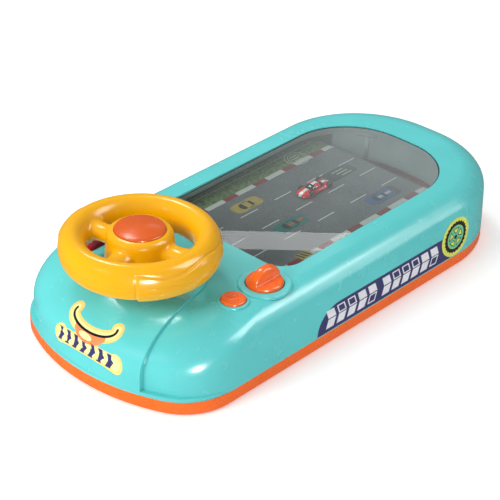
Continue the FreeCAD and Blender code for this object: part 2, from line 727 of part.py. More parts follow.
def main_board():
    """Sound and motor control board, with its chip, capacitor and connectors."""
    parts = (((22, 34), (-24, -14), 1.6, 1), ((12, 18), (-26, -20), 3.0, 1), ((38, 45), (-26, -22), 3.0, 1),
             ((14, 17), (-12, -6), 1.2, 1), ((38, 44), (-14, -8), 2.2, 1))
    plate = board((4, 52), (-38, 2), BOARD_PAD_Z, parts)
    return plate.cut([screw_hole(x, y, (0, 30)) for x, y in MAIN_BOARD_POSTS])


def control_board():
    """Board under the ignition knob and the sound button."""
    plate = board((34, 67), (-104, -62), BOARD_Z, (((46, 50), (-84, -80), 1.0, 1),))
    return plate.cut([screw_hole(x, y, (0, 60)) for x, y in BOARD_POSTS])


def lever_board():
    """Board under the speed lever."""
    plate = board((-68, -32.5), (-116, -86), BOARD_Z, (((-44, -40), (-112, -108), 1.0, 1),))
    return plate.cut([screw_hole(x, y, (0, 60)) for x, y in BOARD_POSTS])


def ignition_switch():
    """Rotary switch body under the ignition knob."""
    x, y = KNOB_AT
    low = BOARD_Z + BOARD_THICK
    body = box((x - 6, x + 6), (y - 5.5, y + 5.5), (low, low + 3.4))
    return body.fuse(post(4.0, x, y, (low, KNOB_STEM_Z - 0.2)))


def button_switch():
    """Tactile switch under the sound button."""
    x, y = BUTTON_AT
    low = BOARD_Z + BOARD_THICK
    top = BUTTON_STEM_Z - BUTTON_TRAVEL - 0.1
    return box((x - 3, x + 3), (y - 3, y + 3), (low, low + 3.0)).fuse(post(1.7, x, y, (low, top)))


def slide_switch():
    """Slide switch body under the speed lever."""
    x, y = LEVER_AT
    low = BOARD_Z + BOARD_THICK
    return box((x - 4, x + 4), (y - 8, y + 8 + LEVER_TRAVEL), (low, LEVER_STEM_Z - 0.2))


def wire(points):
    """One insulated wire along straight runs with rounded bends."""
    pieces = []
    for a, b in zip(points, points[1:]):
        a, b = V(*a), V(*b)
        pieces.append(Part.makeCylinder(WIRE_R, (b - a).Length, a, b - a))
    pieces += [Part.makeSphere(WIRE_R, V(*p)) for p in points[1:-1]]
    return join(pieces)


def wiring():
    """The insulated wires between battery box, boards, loudspeaker and motor."""
    low = FLOOR_TOP + WIRE_R + 0.1
    board_top = BOARD_PAD_Z + BOARD_THICK + WIRE_R + 0.05
    speaker_z = FLOOR_TOP + 4.3 + WIRE_R + 0.1
    under_board = BOARD_Z - WIRE_R - 0.1
    motor_y, motor_z = MOTOR[0] - 2, MOTOR[1] - 5
    runs = []
    for shift in (0.0, 2.2):
        runs.append([(16 + shift, BATTERY_Y[1] + 0.8, 14), (16 + shift, -70, 14), (16 + shift, -70, low),
                     (16 + shift, -40, low), (16 + shift, -40, board_top), (16 + shift, -28.5, board_top)])
        runs.append([(41 + shift, -66, under_board), (41 + shift, -66, low), (41 + shift, -40, low),
                     (41 + shift, -40, board_top), (41 + shift, -28.5, board_top)])
        runs.append([(-10, 8 + shift, speaker_z), (0.5, 8 + shift, speaker_z), (0.5, 8 + shift, low),
                     (20 + shift, 8 + shift, low), (20 + shift, 4, low), (20 + shift, 3.2, board_top),
                     (20 + shift, -4.5, board_top)])
        runs.append([(MOTOR_X[0] - 1.5, motor_y + shift, motor_z), (-62, motor_y + shift, motor_z),
                     (-62, motor_y + shift, low), (38 + shift, motor_y + shift, low),
                     (38 + shift, 4, low), (38 + shift, 3.2, board_top), (38 + shift, -4.5, board_top)])
        runs.append([(-60, -88 - shift, under_board), (-60, -88 - shift, low), (-46, -66 - shift, low),
                     (12 + shift, -66 - shift, low), (12 + shift, -40, low), (12 + shift, -38.8, board_top),
                     (12 + shift, -28.5, board_top)])
    return [wire(run) for run in runs]


# ---------------------------------------------------------------- road chassis and belt
def side_plate(side):
    """Upright plate that carries the rollers, the rods and the road bed. side is 1 right, -1 left."""
    plate = box((side * PLATE_X, side * PLATE_OUT), (PLATE_FRONT, PLATE_BACK), (PLATE_FOOT_Z, PLATE_TOP))
    tab_x = (side * PLATE_X, side * (TAB_X + 3.6))
    tab_z = (PLATE_FOOT_Z, PLATE_FOOT_Z + PLATE_THICK)
    tabs = [box(tab_x, (y - 3.4, y + 3.4), tab_z) for y in TAB_Y]
    reach = sorted((side * (PLATE_X - 1), side * (PLATE_OUT + 1)))
    holes = [bar(BUSH_BODY_R + PIN_FIT, reach, y, z) for y, z in (IDLER, DRIVE)]
    holes += [bar(ROD_R + PIN_FIT, reach, y, CORD_Z) for y in ROD_Y]
    holes.append(box(reach, (CORD_Y - 1.5, CORD_Y + 1.5), (CORD_Z - 1.5, CORD_Z + 1.5)))
    if side > 0:
        holes.append(bar(MOTOR_NOSE_R, reach, *MOTOR))
        holes += [bar(GEAR_PIN_R + PIN_FIT, reach, y, z) for y, z in (GEAR_A, GEAR_B)]
    else:
        holes.append(box(reach, (MOTOR[0] - 4, MOTOR[0] + 2), (MOTOR[1] - 7, MOTOR[1] - 3)))
    holes += [screw_hole(x, y, (0, 30)) for x, y in TABS]
    return plate.fuse(tabs).cut(holes)


def tilt_normal():
    """Unit vectors along the road and square to it, in the YZ plane."""
    turn = math.atan2(DRIVE[1] - IDLER[1], DRIVE[0] - IDLER[0])
    return V(0, math.cos(turn), math.sin(turn)), V(0, -math.sin(turn), math.cos(turn))


def belt_loop(radius):
    """Race-track wire round both rollers at the given radius, in the plane of the belt's left edge."""
    along, up = tilt_normal()
    front, back = V(-BELT_HALF, *IDLER), V(-BELT_HALF, *DRIVE)
    edges = [
        Part.makeLine(front + up * radius, back + up * radius),
        Part.Arc(back + up * radius, back + along * radius, back - up * radius).toShape(),
        Part.makeLine(back - up * radius, front - up * radius),
        Part.Arc(front - up * radius, front - along * radius, front + up * radius).toShape(),
    ]
    return Part.Wire(edges)


def road_belt():
    """Endless printed belt: the scrolling road."""
    outer = Part.Face(belt_loop(BELT_OUT_R)).extrude(V(2 * BELT_HALF, 0, 0))
    inner = Part.Face(belt_loop(BELT_OUT_R - BELT_THICK)).extrude(V(2 * BELT_HALF, 0, 0))
    return outer.cut(inner)


def road_bed():
    """Plate that the top run slides over, with two lips against the side plates."""
    along, up = tilt_normal()
    start = V(-PLATE_X + 0.1, BED_FRONT, road_z(BED_FRONT) - BELT_THICK - 0.05)
    length = (BED_BACK - BED_FRONT) / along.y
    corners = [start, start + along * length, start + along * length - up * BED_THICK, start - up * BED_THICK]
    plate = Part.Face(Part.makePolygon(corners + [start])).extrude(V(2 * (PLATE_X - 0.1), 0, 0))
    lip_y = (-36, 36)
    lips = [box((side * (PLATE_X - 0.1), side * (PLATE_X - 1.3)), lip_y, (32.5, road_z(lip_y[0]) - 1))
            for side in (-1, 1)]
    return plate.fuse(lips)


def roller_bushes():
    """Four flanged bushes in the side plates."""
    group = []
    for y, z in (IDLER, DRIVE):
        for side in (-1, 1):
            body = bar(BUSH_BODY_R, sorted((side * (PLATE_X - 0.1), side * (PLATE_OUT + 0.5))), y, z)
            flange_x = sorted((side * (PLATE_OUT + 0.02), side * (PLATE_OUT + 1.3)))
            flange = bar(BUSH_BODY_R + 1.2, flange_x, y, z)
            bore = bar(SHAFT_R + RUN_FIT, sorted((side * (PLATE_X - 2), side * (PLATE_OUT + 3))), y, z)
            group.append(body.fuse(flange).cut(bore))
    return group


def drive_roller():
    """Back roller that pulls the belt, pressed on its shaft."""
    y, z = DRIVE
    return bar(ROLLER_R, (-ROLLER_HALF, ROLLER_HALF), y, z).cut(bar(SHAFT_R + PRESS_FIT, (-60, 60), y, z))


def drive_shaft():
    """Steel shaft through the back roller, with the driven gear on its right end."""
    return bar(SHAFT_R, (-(PLATE_OUT + 1.8), NEAR_PLANE[1] + 0.6), *DRIVE)


def idler_roller():
    """Front roller with its own stub axles."""
    y, z = IDLER
    stubs = bar(SHAFT_R, (-(PLATE_OUT + 1.8), PLATE_OUT + 1.8), y, z)
    return bar(ROLLER_R, (-ROLLER_HALF, ROLLER_HALF), y, z).fuse(stubs)


# ---------------------------------------------------------------- gears and motor
def involute(angle):
    """Involute function of an angle in radians."""
    return math.tan(angle) - angle


def gear(teeth, width, phase):
    """Spur gear round Z, its flanks laid in straight steps on the involute; phase is one tooth's angle."""
    pitch_r = MODULE * teeth / 2
    pressure = math.radians(PRESSURE)
    base_r = pitch_r * math.cos(pressure)
    root_r = pitch_r - DEDENDUM * MODULE
    tip_r = pitch_r + ADDENDUM * MODULE
    half_pitch = math.pi / (2 * teeth) - BACKLASH / pitch_r
    flank = [root_r] if root_r < base_r else []
    flank += [max(root_r, base_r), (max(root_r, base_r) + pitch_r) / 2, pitch_r, (pitch_r + tip_r) / 2, tip_r]

    def half_angle(radius):
        slope = math.acos(min(1.0, base_r / radius))
        return half_pitch + involute(pressure) - involute(slope)

    points = []
    for i in range(teeth):
        middle = math.radians(phase) + 2 * math.pi * i / teeth
        rising = [(r, middle - half_angle(max(r, base_r))) for r in flank]
        falling = [(r, middle + half_angle(max(r, base_r))) for r in reversed(flank)]
        points += [V(r * math.cos(a), r * math.sin(a), 0) for r, a in rising + falling]
    return Part.Face(Part.makePolygon(points + [points[0]])).extrude(V(0, 0, width))


def mesh_phase(angle, teeth):
    """Phase of a driven gear whose tooth gap faces back along the line of centres at angle."""
    return angle + 180 + 180.0 / teeth


def drive_gear():
    """Gear on the drive shaft."""
    form = gear(WHEEL_TEETH, NEAR_PLANE[1] - NEAR_PLANE[0], GEAR_B_ANGLE)
    form = form.cut(post(SHAFT_R + PRESS_FIT, 0, 0, (-1, 9)))
    return turned_to_x(form, NEAR_PLANE[0], *DRIVE)


def compound_gear(near, far, bore):
    """Two gears moulded as one; near and far are (teeth, phase)."""
    gap = FAR_PLANE[0] - NEAR_PLANE[0]
    low = gear(near[0], NEAR_PLANE[1] - NEAR_PLANE[0], near[1])
    high = gear(far[0], FAR_PLANE[1] - FAR_PLANE[0], far[1])
    high.translate(V(0, 0, gap))
    hub = post(GEAR_HUB_R, 0, 0, (0, gap + 0.5))
    return low.fuse([high, hub]).cut(post(bore, 0, 0, (-1, 12)))


def gear_b():
    """Second reduction gear: small wheel on the drive gear, large wheel on gear A."""
    near = (PINION_TEETH, mesh_phase(GEAR_B_ANGLE, PINION_TEETH))
    form = compound_gear(near, (WHEEL_TEETH, GEAR_A_ANGLE), GEAR_PIN_R + RUN_FIT)
    return turned_to_x(form, NEAR_PLANE[0], *GEAR_B)


def gear_a():
    """First reduction gear: large wheel on the motor pinion, small wheel on gear B."""
    far = (PINION_TEETH, mesh_phase(GEAR_A_ANGLE, PINION_TEETH))
    form = compound_gear((FIRST_TEETH, MOTOR_ANGLE), far, GEAR_PIN_R + RUN_FIT)
    return turned_to_x(form, NEAR_PLANE[0], *GEAR_A)


def motor_rotor():
    """Motor shaft with its pinion."""
    form = gear(PINION_TEETH, NEAR_PLANE[1] - NEAR_PLANE[0], mesh_phase(MOTOR_ANGLE, PINION_TEETH))
    pinion = turned_to_x(form, NEAR_PLANE[0], *MOTOR)
    return pinion.fuse(bar(MOTOR_SHAFT_R, (MOTOR_X[1] - 8.0, NEAR_PLANE[1] + 0.6), *MOTOR))


def gear_pins():
    """Two shouldered steel pins in the right side plate, with heads that keep the gears on."""
    group = []
    for y, z in (GEAR_A, GEAR_B):
        pin = bar(GEAR_PIN_R, (PLATE_X + 0.05, FAR_PLANE[1] + 0.3), y, z)
        collar = bar(PIN_HEAD_R, (PLATE_OUT + 0.02, NEAR_PLANE[0] - 0.15), y, z)
        head = bar(PIN_HEAD_R, (FAR_PLANE[1] + 0.15, FAR_PLANE[1] + 0.9), y, z)
        group.append(pin.fuse([collar, head]))
    return group


def drive_motor():
    """Small flat-sided can motor inside the belt loop."""
    y, z = MOTOR
    flats = box(MOTOR_X, (y - 11, y + 11), widened((z, z), MOTOR_FLAT))
    can = bar(MOTOR_R, MOTOR_X, y, z).common(flats)
    cap = bar(5.0, (MOTOR_X[0] - 1.4, MOTOR_X[0] + 0.1), y, z)
    return can.fuse(cap).cut(bar(MOTOR_SHAFT_R + RUN_FIT, (MOTOR_X[1] - 8.3, MOTOR_X[1] + 1), y, z))


def motor_cradle():
    """Moulded sleeve that holds the motor to the right side plate."""
    y, z = MOTOR
    length = (MOTOR_X[1] - 16.0, PLATE_X - 0.05)
    sleeve = box(length, (y - 11.4, y + 11.6), (z - 8.8, z + 8.4))
    pocket_x = (length[0] - 1, MOTOR_X[1] + PIN_FIT)
    pocket = bar(MOTOR_R + PIN_FIT, pocket_x, y, z)
    pocket = pocket.common(box(pocket_x, (y - 11, y + 11), widened((z, z), MOTOR_FLAT + PIN_FIT)))
    return sleeve.cut([pocket, bar(MOTOR_NOSE_R, (length[0], PLATE_X + 1), y, z)])


# ---------------------------------------------------------------- steering train
def rim_band(grow, span=360.0, start=0.0):
    """Steering wheel rim as a revolved ellipse, grown by grow, over part or all of the turn."""
    wide, tall = RIM_HALF_WIDE + grow, RIM_HALF_TALL + grow
    middle = V(RIM_R, 0, WHEEL_Z)
    edge = Part.Ellipse(V(RIM_R, 0, WHEEL_Z + tall), V(RIM_R + wide, 0, WHEEL_Z), middle).toShape()
    band = Part.Face(Part.Wire(edge)).revolve(ORIGIN, Z_AXIS, span)
    band.rotate(ORIGIN, Z_AXIS, start)
    return band


def wheel_form():
    """Whole steering wheel round the Z axis: rim with grip pads, three spokes and a tapered hub."""
    hub = Part.makeCone(HUB_R, HUB_TOP_R, HUB_TOP - HUB_Z, V(0, 0, HUB_Z), Z_AXIS)
    top = [e for e in hub.Edges if e.BoundBox.ZMin > HUB_TOP - 0.01]
    hub = hub.makeFillet(3.4, top)
    form = [rim_band(0.0), hub]
    for angle in SPOKE_AT:
        spoke = box((12.0, RIM_R - RIM_HALF_WIDE + 2.2), (-SPOKE_WIDE / 2, SPOKE_WIDE / 2), SPOKE_Z)
        long_edges = [e for e in spoke.Edges if e.BoundBox.XLength > 5]
        spoke = spoke.makeFillet(4.5, long_edges)
        spoke.rotate(ORIGIN, Z_AXIS, angle + WHEEL_REST)
        form.append(spoke)
    span = GRIP_SPAN[1] - GRIP_SPAN[0]
    for start in (GRIP_SPAN[0], GRIP_SPAN[0] + 180):
        pad = rim_band(GRIP_RISE, span, start)
        form.append(pad.cut(post(RIM_R, 0, 0, (0, 200))))
    solid = form[0].fuse(form[1:])
    hollow = [rim_band(-RIM_SKIN), post(HUB_INSIDE_R, 0, 0, (HUB_Z + RIM_SKIN, HORN_LIP_Z))]
    return solid.cut(hollow)


def wheel_screw_places():
    """Screws through the spokes that hold the two wheel shells together."""
    places = []
    for angle in SPOKE_AT:
        turn = math.radians(angle + WHEEL_REST)
        places.append((WHEEL_SCREW_R * math.cos(turn), WHEEL_SCREW_R * math.sin(turn)))
    return places


def moved_to_column(shape):
    """Moves a shape drawn round the Z axis onto the steering column."""
    shape = shape.copy()
    shape.translate(V(0, WHEEL_Y, 0))
    return shape


def wheel_top_shell(form):
    """Upper half of the steering wheel, with the horn opening."""
    top = form.common(box((-60, 60), (-60, 60), (WHEEL_Z, 100)))
    holes = [post(HORN_R + 0.25, 0, 0, (HORN_LIP_Z - 1, 90))]
    holes += [screw_hole(x, y, (WHEEL_Z - 1, WHEEL_Z + 5)) for x, y in wheel_screw_places()]
    return moved_to_column(top.cut(holes))


def wheel_bottom_shell(form):
    """Lower half of the steering wheel, with the shaft socket and the horn switch seat."""
    low = form.common(box((-60, 60), (-60, 60), (0, WHEEL_Z)))
    socket = post(7.0, 0, 0, (HUB_Z + 0.5, SOCKET_TOP))
    seat = ring(11.0, 9.0, 0, 0, (HUB_Z + 0.5, HORN_PLATE_Z))
    low = low.fuse([socket, seat])
    holes = [post(STEER_SHAFT_R + PIN_FIT, 0, 0, (HUB_Z - 1, SOCKET_TOP - 1.4))]
    holes.append(screw_hole(0, 0, (HUB_Z, SOCKET_TOP + 1)))
    for x, y in wheel_screw_places():
        holes.append(post(SCREW_HEAD_R + 0.3, x, y, (HUB_Z, WHEEL_Z - WHEEL_SCREW_SEAT)))
        holes.append(screw_hole(x, y, (HUB_Z, WHEEL_Z + 1)))
    return moved_to_column(low.cut(holes))


def wheel_screws():
    """Three shell screws from below and the screw that holds the wheel on its shaft."""
    group = [screw(x, y, WHEEL_Z - WHEEL_SCREW_SEAT, 6.8) for x, y in wheel_screw_places()]
    group.append(screw(0, 0, SOCKET_TOP, 8.0, -1))
    return [moved_to_column(s) for s in group]


def steering_shaft():
    """Shaft from the wheel hub down to the bridge under the cord drum."""
    shaft = post(STEER_SHAFT_R, 0, 0, (BRIDGE_Z + 0.4, SOCKET_TOP - 1.6))
    return moved_to_column(shaft.cut(screw_hole(0, 0, (SOCKET_TOP - 9, SOCKET_TOP))))


def cord_drum():
    """Large grooved drum that winds the steering cord."""
    groove = CORD_DRUM_R - CORD_HALF - 0.05
    solid = join([
        post(groove, 0, 0, widened((CORD_Z, CORD_Z), CORD_DRUM_HALF)),
        post(CORD_DRUM_R + CORD_DRUM_RIM, 0, 0, (CORD_Z - CORD_DRUM_HALF, CORD_Z - CORD_DRUM_GROOVE)),
        post(CORD_DRUM_R + CORD_DRUM_RIM, 0, 0, (CORD_Z + CORD_DRUM_GROOVE, CORD_Z + CORD_DRUM_HALF)),
    ])
    pocket_z = ((CORD_Z - 3, CORD_Z - 0.8), (CORD_Z + 0.8, CORD_Z + 3))
    pockets = [ring(groove - 4.0, 10.0, 0, 0, z) for z in pocket_z]
    for i in range(5):
        turn = math.radians(WHEEL_REST + 72 * i)
        pockets.append(post(5.0, 18.5 * math.cos(turn), 18.5 * math.sin(turn), (0, 100)))
    hub = post(8.0, 0, 0, (BRIDGE_Z + BRIDGE_THICK + 0.4, CORD_Z + 4.5))
    return moved_to_column(solid.cut(pockets).fuse(hub).cut(post(STEER_SHAFT_R + PRESS_FIT, 0, 0, (0, 100))))


def steering_bush():
    """Flanged bush for the steering shaft in the case's column."""
    body = post(BUSH_R, 0, 0, (COLUMN_LOW, COLUMN_TOP + 0.5))
    flange = post(BUSH_R + 1.5, 0, 0, (COLUMN_TOP + 0.02, COLUMN_TOP + 1.0))
    return moved_to_column(body.fuse(flange).cut(post(STEER_SHAFT_R + RUN_FIT, 0, 0, (0, 100))))


def steering_bridge():
    """Plate over the battery box that holds the foot of the steering shaft."""
    x_half, y_low, y_high = 42.5, BRIDGE_AT[2][1] - 4.5, BRIDGE_AT[0][1] + 4.5
    plate = box((-x_half, x_half), (y_low, y_high), (BRIDGE_Z, BRIDGE_Z + BRIDGE_THICK))
    holes = [screw_hole(x, y, (0, 60)) for x, y in BRIDGE_AT]
    holes.append(post(STEER_SHAFT_R + RUN_FIT, 0, WHEEL_Y, (0, 60)))
    return plate.cut(holes)


def horn_switch():
    """Small round board in the hub with the horn's tactile switch."""
    plate = post(10.8, 0, 0, (HORN_PLATE_Z + 0.05, HORN_PLATE_Z + 1.05))
    switch = box((-3, 3), (-3, 3), (HORN_PLATE_Z + 1, HORN_STEM_Z - HORN_TRAVEL - 0.5))
    plunger = post(1.7, 0, 0, (HORN_PLATE_Z + 1, HORN_STEM_Z - HORN_TRAVEL - 0.1))
    return moved_to_column(plate.fuse([switch, plunger]))


def horn_spring():
    """Return spring under the horn button."""
    wire_r = 0.35
    low = HORN_PLATE_Z + 1.05 + wire_r + 0.05
    spring = coil(6.8, wire_r, HORN_FLANGE_Z - wire_r - 0.05 - low, 3.5, V(0, 0, low))
    return moved_to_column(spring)


def horn_button():
    """Domed horn button with its keeper flange and stem."""
    cap = post(HORN_R, 0, 0, (HORN_FLANGE_Z + 1.0, HUB_TOP + 1.0))
    rim = [e for e in cap.Edges if e.BoundBox.ZMin > HUB_TOP + 0.9]
    cap = cap.makeFillet(0.9, rim)
    dome_r = (HORN_R ** 2 + HORN_DOME ** 2) / (2 * HORN_DOME)
    dome = Part.makeSphere(dome_r, V(0, 0, HUB_TOP + 0.9 + HORN_DOME - dome_r))
    dome = dome.common(post(HORN_R - 1.2, 0, 0, (HUB_TOP, HUB_TOP + 10)))
    flange = post(HUB_INSIDE_R - 0.4, 0, 0, (HORN_FLANGE_Z, HORN_LIP_Z - 0.2))
    stem = post(2.5, 0, 0, (HORN_STEM_Z, HORN_FLANGE_Z + 0.5))
    return moved_to_column(cap.fuse([dome, flange, stem]))


def cord_loop(shift):
    """Closed wire of the cord path round the drum and four pulleys, moved outwards by shift."""
    drum, front = (0.0, WHEEL_Y), (PULLEY_X, FRONT_PULLEY_Y)
    lean = math.atan2(front[1] - drum[1], front[0] - drum[0])
    distance = math.hypot(front[0] - drum[0], front[1] - drum[1])
    heading = lean + math.asin((CORD_DRUM_R - PULLEY_R) / distance)
    out = (math.sin(heading), -math.cos(heading))
    z = CORD_Z - CORD_HALF

    def spot(centre, radius, direction, side=1):
        return V(side * (centre[0] + radius * direction[0]), centre[1] + radius * direction[1], z)

    def right_side(side):
        r = PULLEY_R + shift
        side_pulley = (PULLEY_X, SIDE_PULLEY_Y)
        half_out = (math.cos((heading - math.pi / 2) / 2), math.sin((heading - math.pi / 2) / 2))
        corner = math.sqrt(0.5)
        return [
            Part.makeLine(spot(drum, CORD_DRUM_R + shift, out, side), spot(front, r, out, side)),
            Part.Arc(spot(front, r, out, side), spot(front, r, half_out, side),
                     spot(front, r, (1, 0), side)).toShape(),
            Part.makeLine(spot(front, r, (1, 0), side), spot(side_pulley, r, (1, 0), side)),
            Part.Arc(spot(side_pulley, r, (1, 0), side), spot(side_pulley, r, (corner, corner), side),
                     spot(side_pulley, r, (0, 1), side)).toShape(),
        ]

    wound = Part.Arc(spot(drum, CORD_DRUM_R + shift, out, -1), V(0, WHEEL_Y - CORD_DRUM_R - shift, z),
                     spot(drum, CORD_DRUM_R + shift, out)).toShape()
    cross = Part.makeLine(spot((PULLEY_X, SIDE_PULLEY_Y), PULLEY_R + shift, (0, 1)),
                          spot((PULLEY_X, SIDE_PULLEY_Y), PULLEY_R + shift, (0, 1), -1))
    return Part.Wire(Part.__sortEdges__(right_side(1) + [cross] + right_side(-1) + [wound]))


def steering_cord():
    """Cord from the drum round the pulleys and across through the carriage."""
    return slab(cord_loop(CORD_HALF), 2 * CORD_HALF).cut(slab(cord_loop(-CORD_HALF), 2 * CORD_HALF))


def pulley(place):
    """Grooved guide pulley."""
    x, y = place
    core = post(PULLEY_R - CORD_HALF - 0.05, x, y, (PULLEY_LOW + 0.2, PULLEY_TOP))
    flange_z = ((PULLEY_LOW + 0.2, CORD_Z - 1.4), (CORD_Z + 1.4, PULLEY_TOP))
    flanges = [post(PULLEY_R + 1.0, x, y, z) for z in flange_z]
    spokes = [post(0.9, x + 2.8 * math.cos(t), y + 2.8 * math.sin(t), (0, 60)) for t in (0.3, 2.4, 4.5)]
    return core.fuse(flanges).cut([post(PULLEY_PIN_R + RUN_FIT, x, y, (0, 60))] + spokes)


def pulley_pins():
    """Four headed pins in the tray's posts."""
    group = []
    for x, y in PULLEY_AT:
        pin = post(PULLEY_PIN_R, x, y, (PULLEY_LOW - 11, PULLEY_TOP + 0.2))
        group.append(pin.fuse(post(2.6, x, y, (PULLEY_TOP + 0.2, PULLEY_TOP + 1.0))))
    return group


def guide_rods():
    """Two steel rods between the side plates that the carriage slides on."""
    return [bar(ROD_R, (-PLATE_OUT, PLATE_OUT), y, CORD_Z) for y in ROD_Y]


# ---------------------------------------------------------------- car, carriage and magnets
def car_carriage():
    """Block on the guide rods with the cord clamp slot and a cup for the magnet."""
    x = (CAR_X - CARRIAGE_HALF, CAR_X + CARRIAGE_HALF)
    block = box(x, (ROD_Y[0] - 3.5, ROD_Y[1] + 3.3), (CORD_Z - 3.4, CORD_Z + 3.4))
    cup = post(7.5, CAR_X, CAR_Y, (CORD_Z + 3.3, MAGNET_TOP))
    holes = [bar(ROD_R + RUN_FIT, (x[0] - 1, x[1] + 1), y, CORD_Z) for y in ROD_Y]
    holes.append(box((x[0] - 1, x[1] + 1), (CORD_Y - 0.8, CORD_Y + 0.8), (CORD_Z - 0.8, CORD_Z + 0.8)))
    pocket = MAGNET_TOP - MAGNET_THICK - 2 * PIN_FIT
    holes.append(post(MAGNET_R + PIN_FIT, CAR_X, CAR_Y, (pocket, MAGNET_TOP + 1)))
    return block.fuse(cup).cut(holes)


def drive_magnet():
    """Disc magnet in the carriage cup."""
    return post(MAGNET_R, CAR_X, CAR_Y, (MAGNET_TOP - PIN_FIT - MAGNET_THICK, MAGNET_TOP - PIN_FIT))


def player_car():
    """Low coupe body that rides on the road, with fenders, cabin, tail wing and a magnet pocket."""
    low = road_z(CAR_Y) + 0.35
    half_w, half_l = CAR_WIDTH / 2, CAR_LENGTH / 2
    body = box((-half_w + 0.6, half_w - 0.6), (-half_l, half_l), (low, low + 2.6))
    body = body.makeFillet(1.0, [e for e in body.Edges if e.BoundBox.ZMax > low + 1.0])
    cabin = box((-half_w + 1.8, half_w - 1.8), (-6.5, 4.5), (low + 1.5, low + CAR_HEIGHT - 0.6))
    cabin = cabin.makeFillet(1.2, [e for e in cabin.Edges if e.BoundBox.ZMax > low + 3.0])
    wheels = []
    for y in (-half_l + 5.5, half_l - 5.5):
        for side in (-1, 1):
            reach = sorted((side * half_w, side * (half_w - 2.2)))
            wheels.append(bar(2.3, reach, y, low + 2.0))
    wing = box((-half_w + 1.0, half_w - 1.0), (-half_l + 0.4, -half_l + 2.2), (low + 2.2, low + 3.6))
    car = body.fuse([cabin, wing] + wheels)
    car.translate(V(CAR_X, CAR_Y, 0))
    under = road_z(CAR_Y + half_l) + 0.08
    car = car.common(box((-100, 100), (-100, 200), (under, 80)))
    return car.cut(post(CAR_MAGNET_R + PIN_FIT, CAR_X, CAR_Y, (low - 1, low + CAR_MAGNET_THICK + 0.1)))


def car_magnet():
    """Disc magnet under the car."""
    low = road_z(CAR_Y) + 0.4
    return post(CAR_MAGNET_R, CAR_X, CAR_Y, (low, low + CAR_MAGNET_THICK))


# ---------------------------------------------------------------- controls on the top
def ignition_knob():
    """Turning knob with a tall half-round grip, a keeper flange and a stem."""
    x, y = KNOB_AT
    deck = top_z(y) + KNOB_DECK
    disc = post(KNOB_R, x, y, (top_z(y) - KEEPER_LOW, deck))
    disc = disc.makeFillet(1.0, [e for e in disc.Edges if e.BoundBox.ZMin > deck - 0.01])
    grip = bar(KNOB_R - 0.6, widened((x, x), KNOB_GRIP_HALF), y, deck - 0.4)
    grip = grip.makeFillet(1.6, [e for e in grip.Edges if e.BoundBox.YLength > 10])
    grip = grip.common(box((x - 9, x + 9), (y - 20, y + 20), (deck - 1.5, deck + 20)))
    flange = post(KNOB_R + 1.7, x, y, (top_z(y) - 4.9, top_z(y) - 3.8))
    stem = post(3.0, x, y, (KNOB_STEM_Z, top_z(y) - KEEPER_LOW))
    return disc.fuse([grip, flange, stem])


def sound_button():
    """Round push button with a keeper flange and a stem."""
    x, y = BUTTON_AT
    deck = top_z(y) + BUTTON_DECK
    cap = post(BUTTON_R, x, y, (top_z(y) - 3.5, deck))
    cap = cap.makeFillet(1.2, [e for e in cap.Edges if e.BoundBox.ZMin > deck - 0.01])
    flange = post(BUTTON_R + 1.4, x, y, (top_z(y) - 4.6, top_z(y) - WALL - 1.1))
    stem = post(2.0, x, y, (BUTTON_STEM_Z, top_z(y) - KEEPER_LOW))
    return cap.fuse([flange, stem])


def speed_lever():
    """Long rounded thumb slider with a blade down to its switch."""
    x, y = LEVER_AT
    low = LEVER_FLOOR + 0.3
    half_x, half_y = LEVER_CAP_HALF
    cap = box(widened((x, x), half_x), widened((y, y), half_y), (low, low + LEVER_HEIGHT))
    cap = cap.makeFillet(4.3, [e for e in cap.Edges if e.BoundBox.ZLength > 5])
    cap = cap.makeFillet(2.4, [e for e in cap.Edges if e.BoundBox.ZMin > low + LEVER_HEIGHT - 0.01])
    half_x, half_y = LEVER_BLADE_HALF
    blade = box(widened((x, x), half_x), widened((y, y), half_y), (LEVER_STEM_Z, low + 1))
    return cap.fuse(blade)


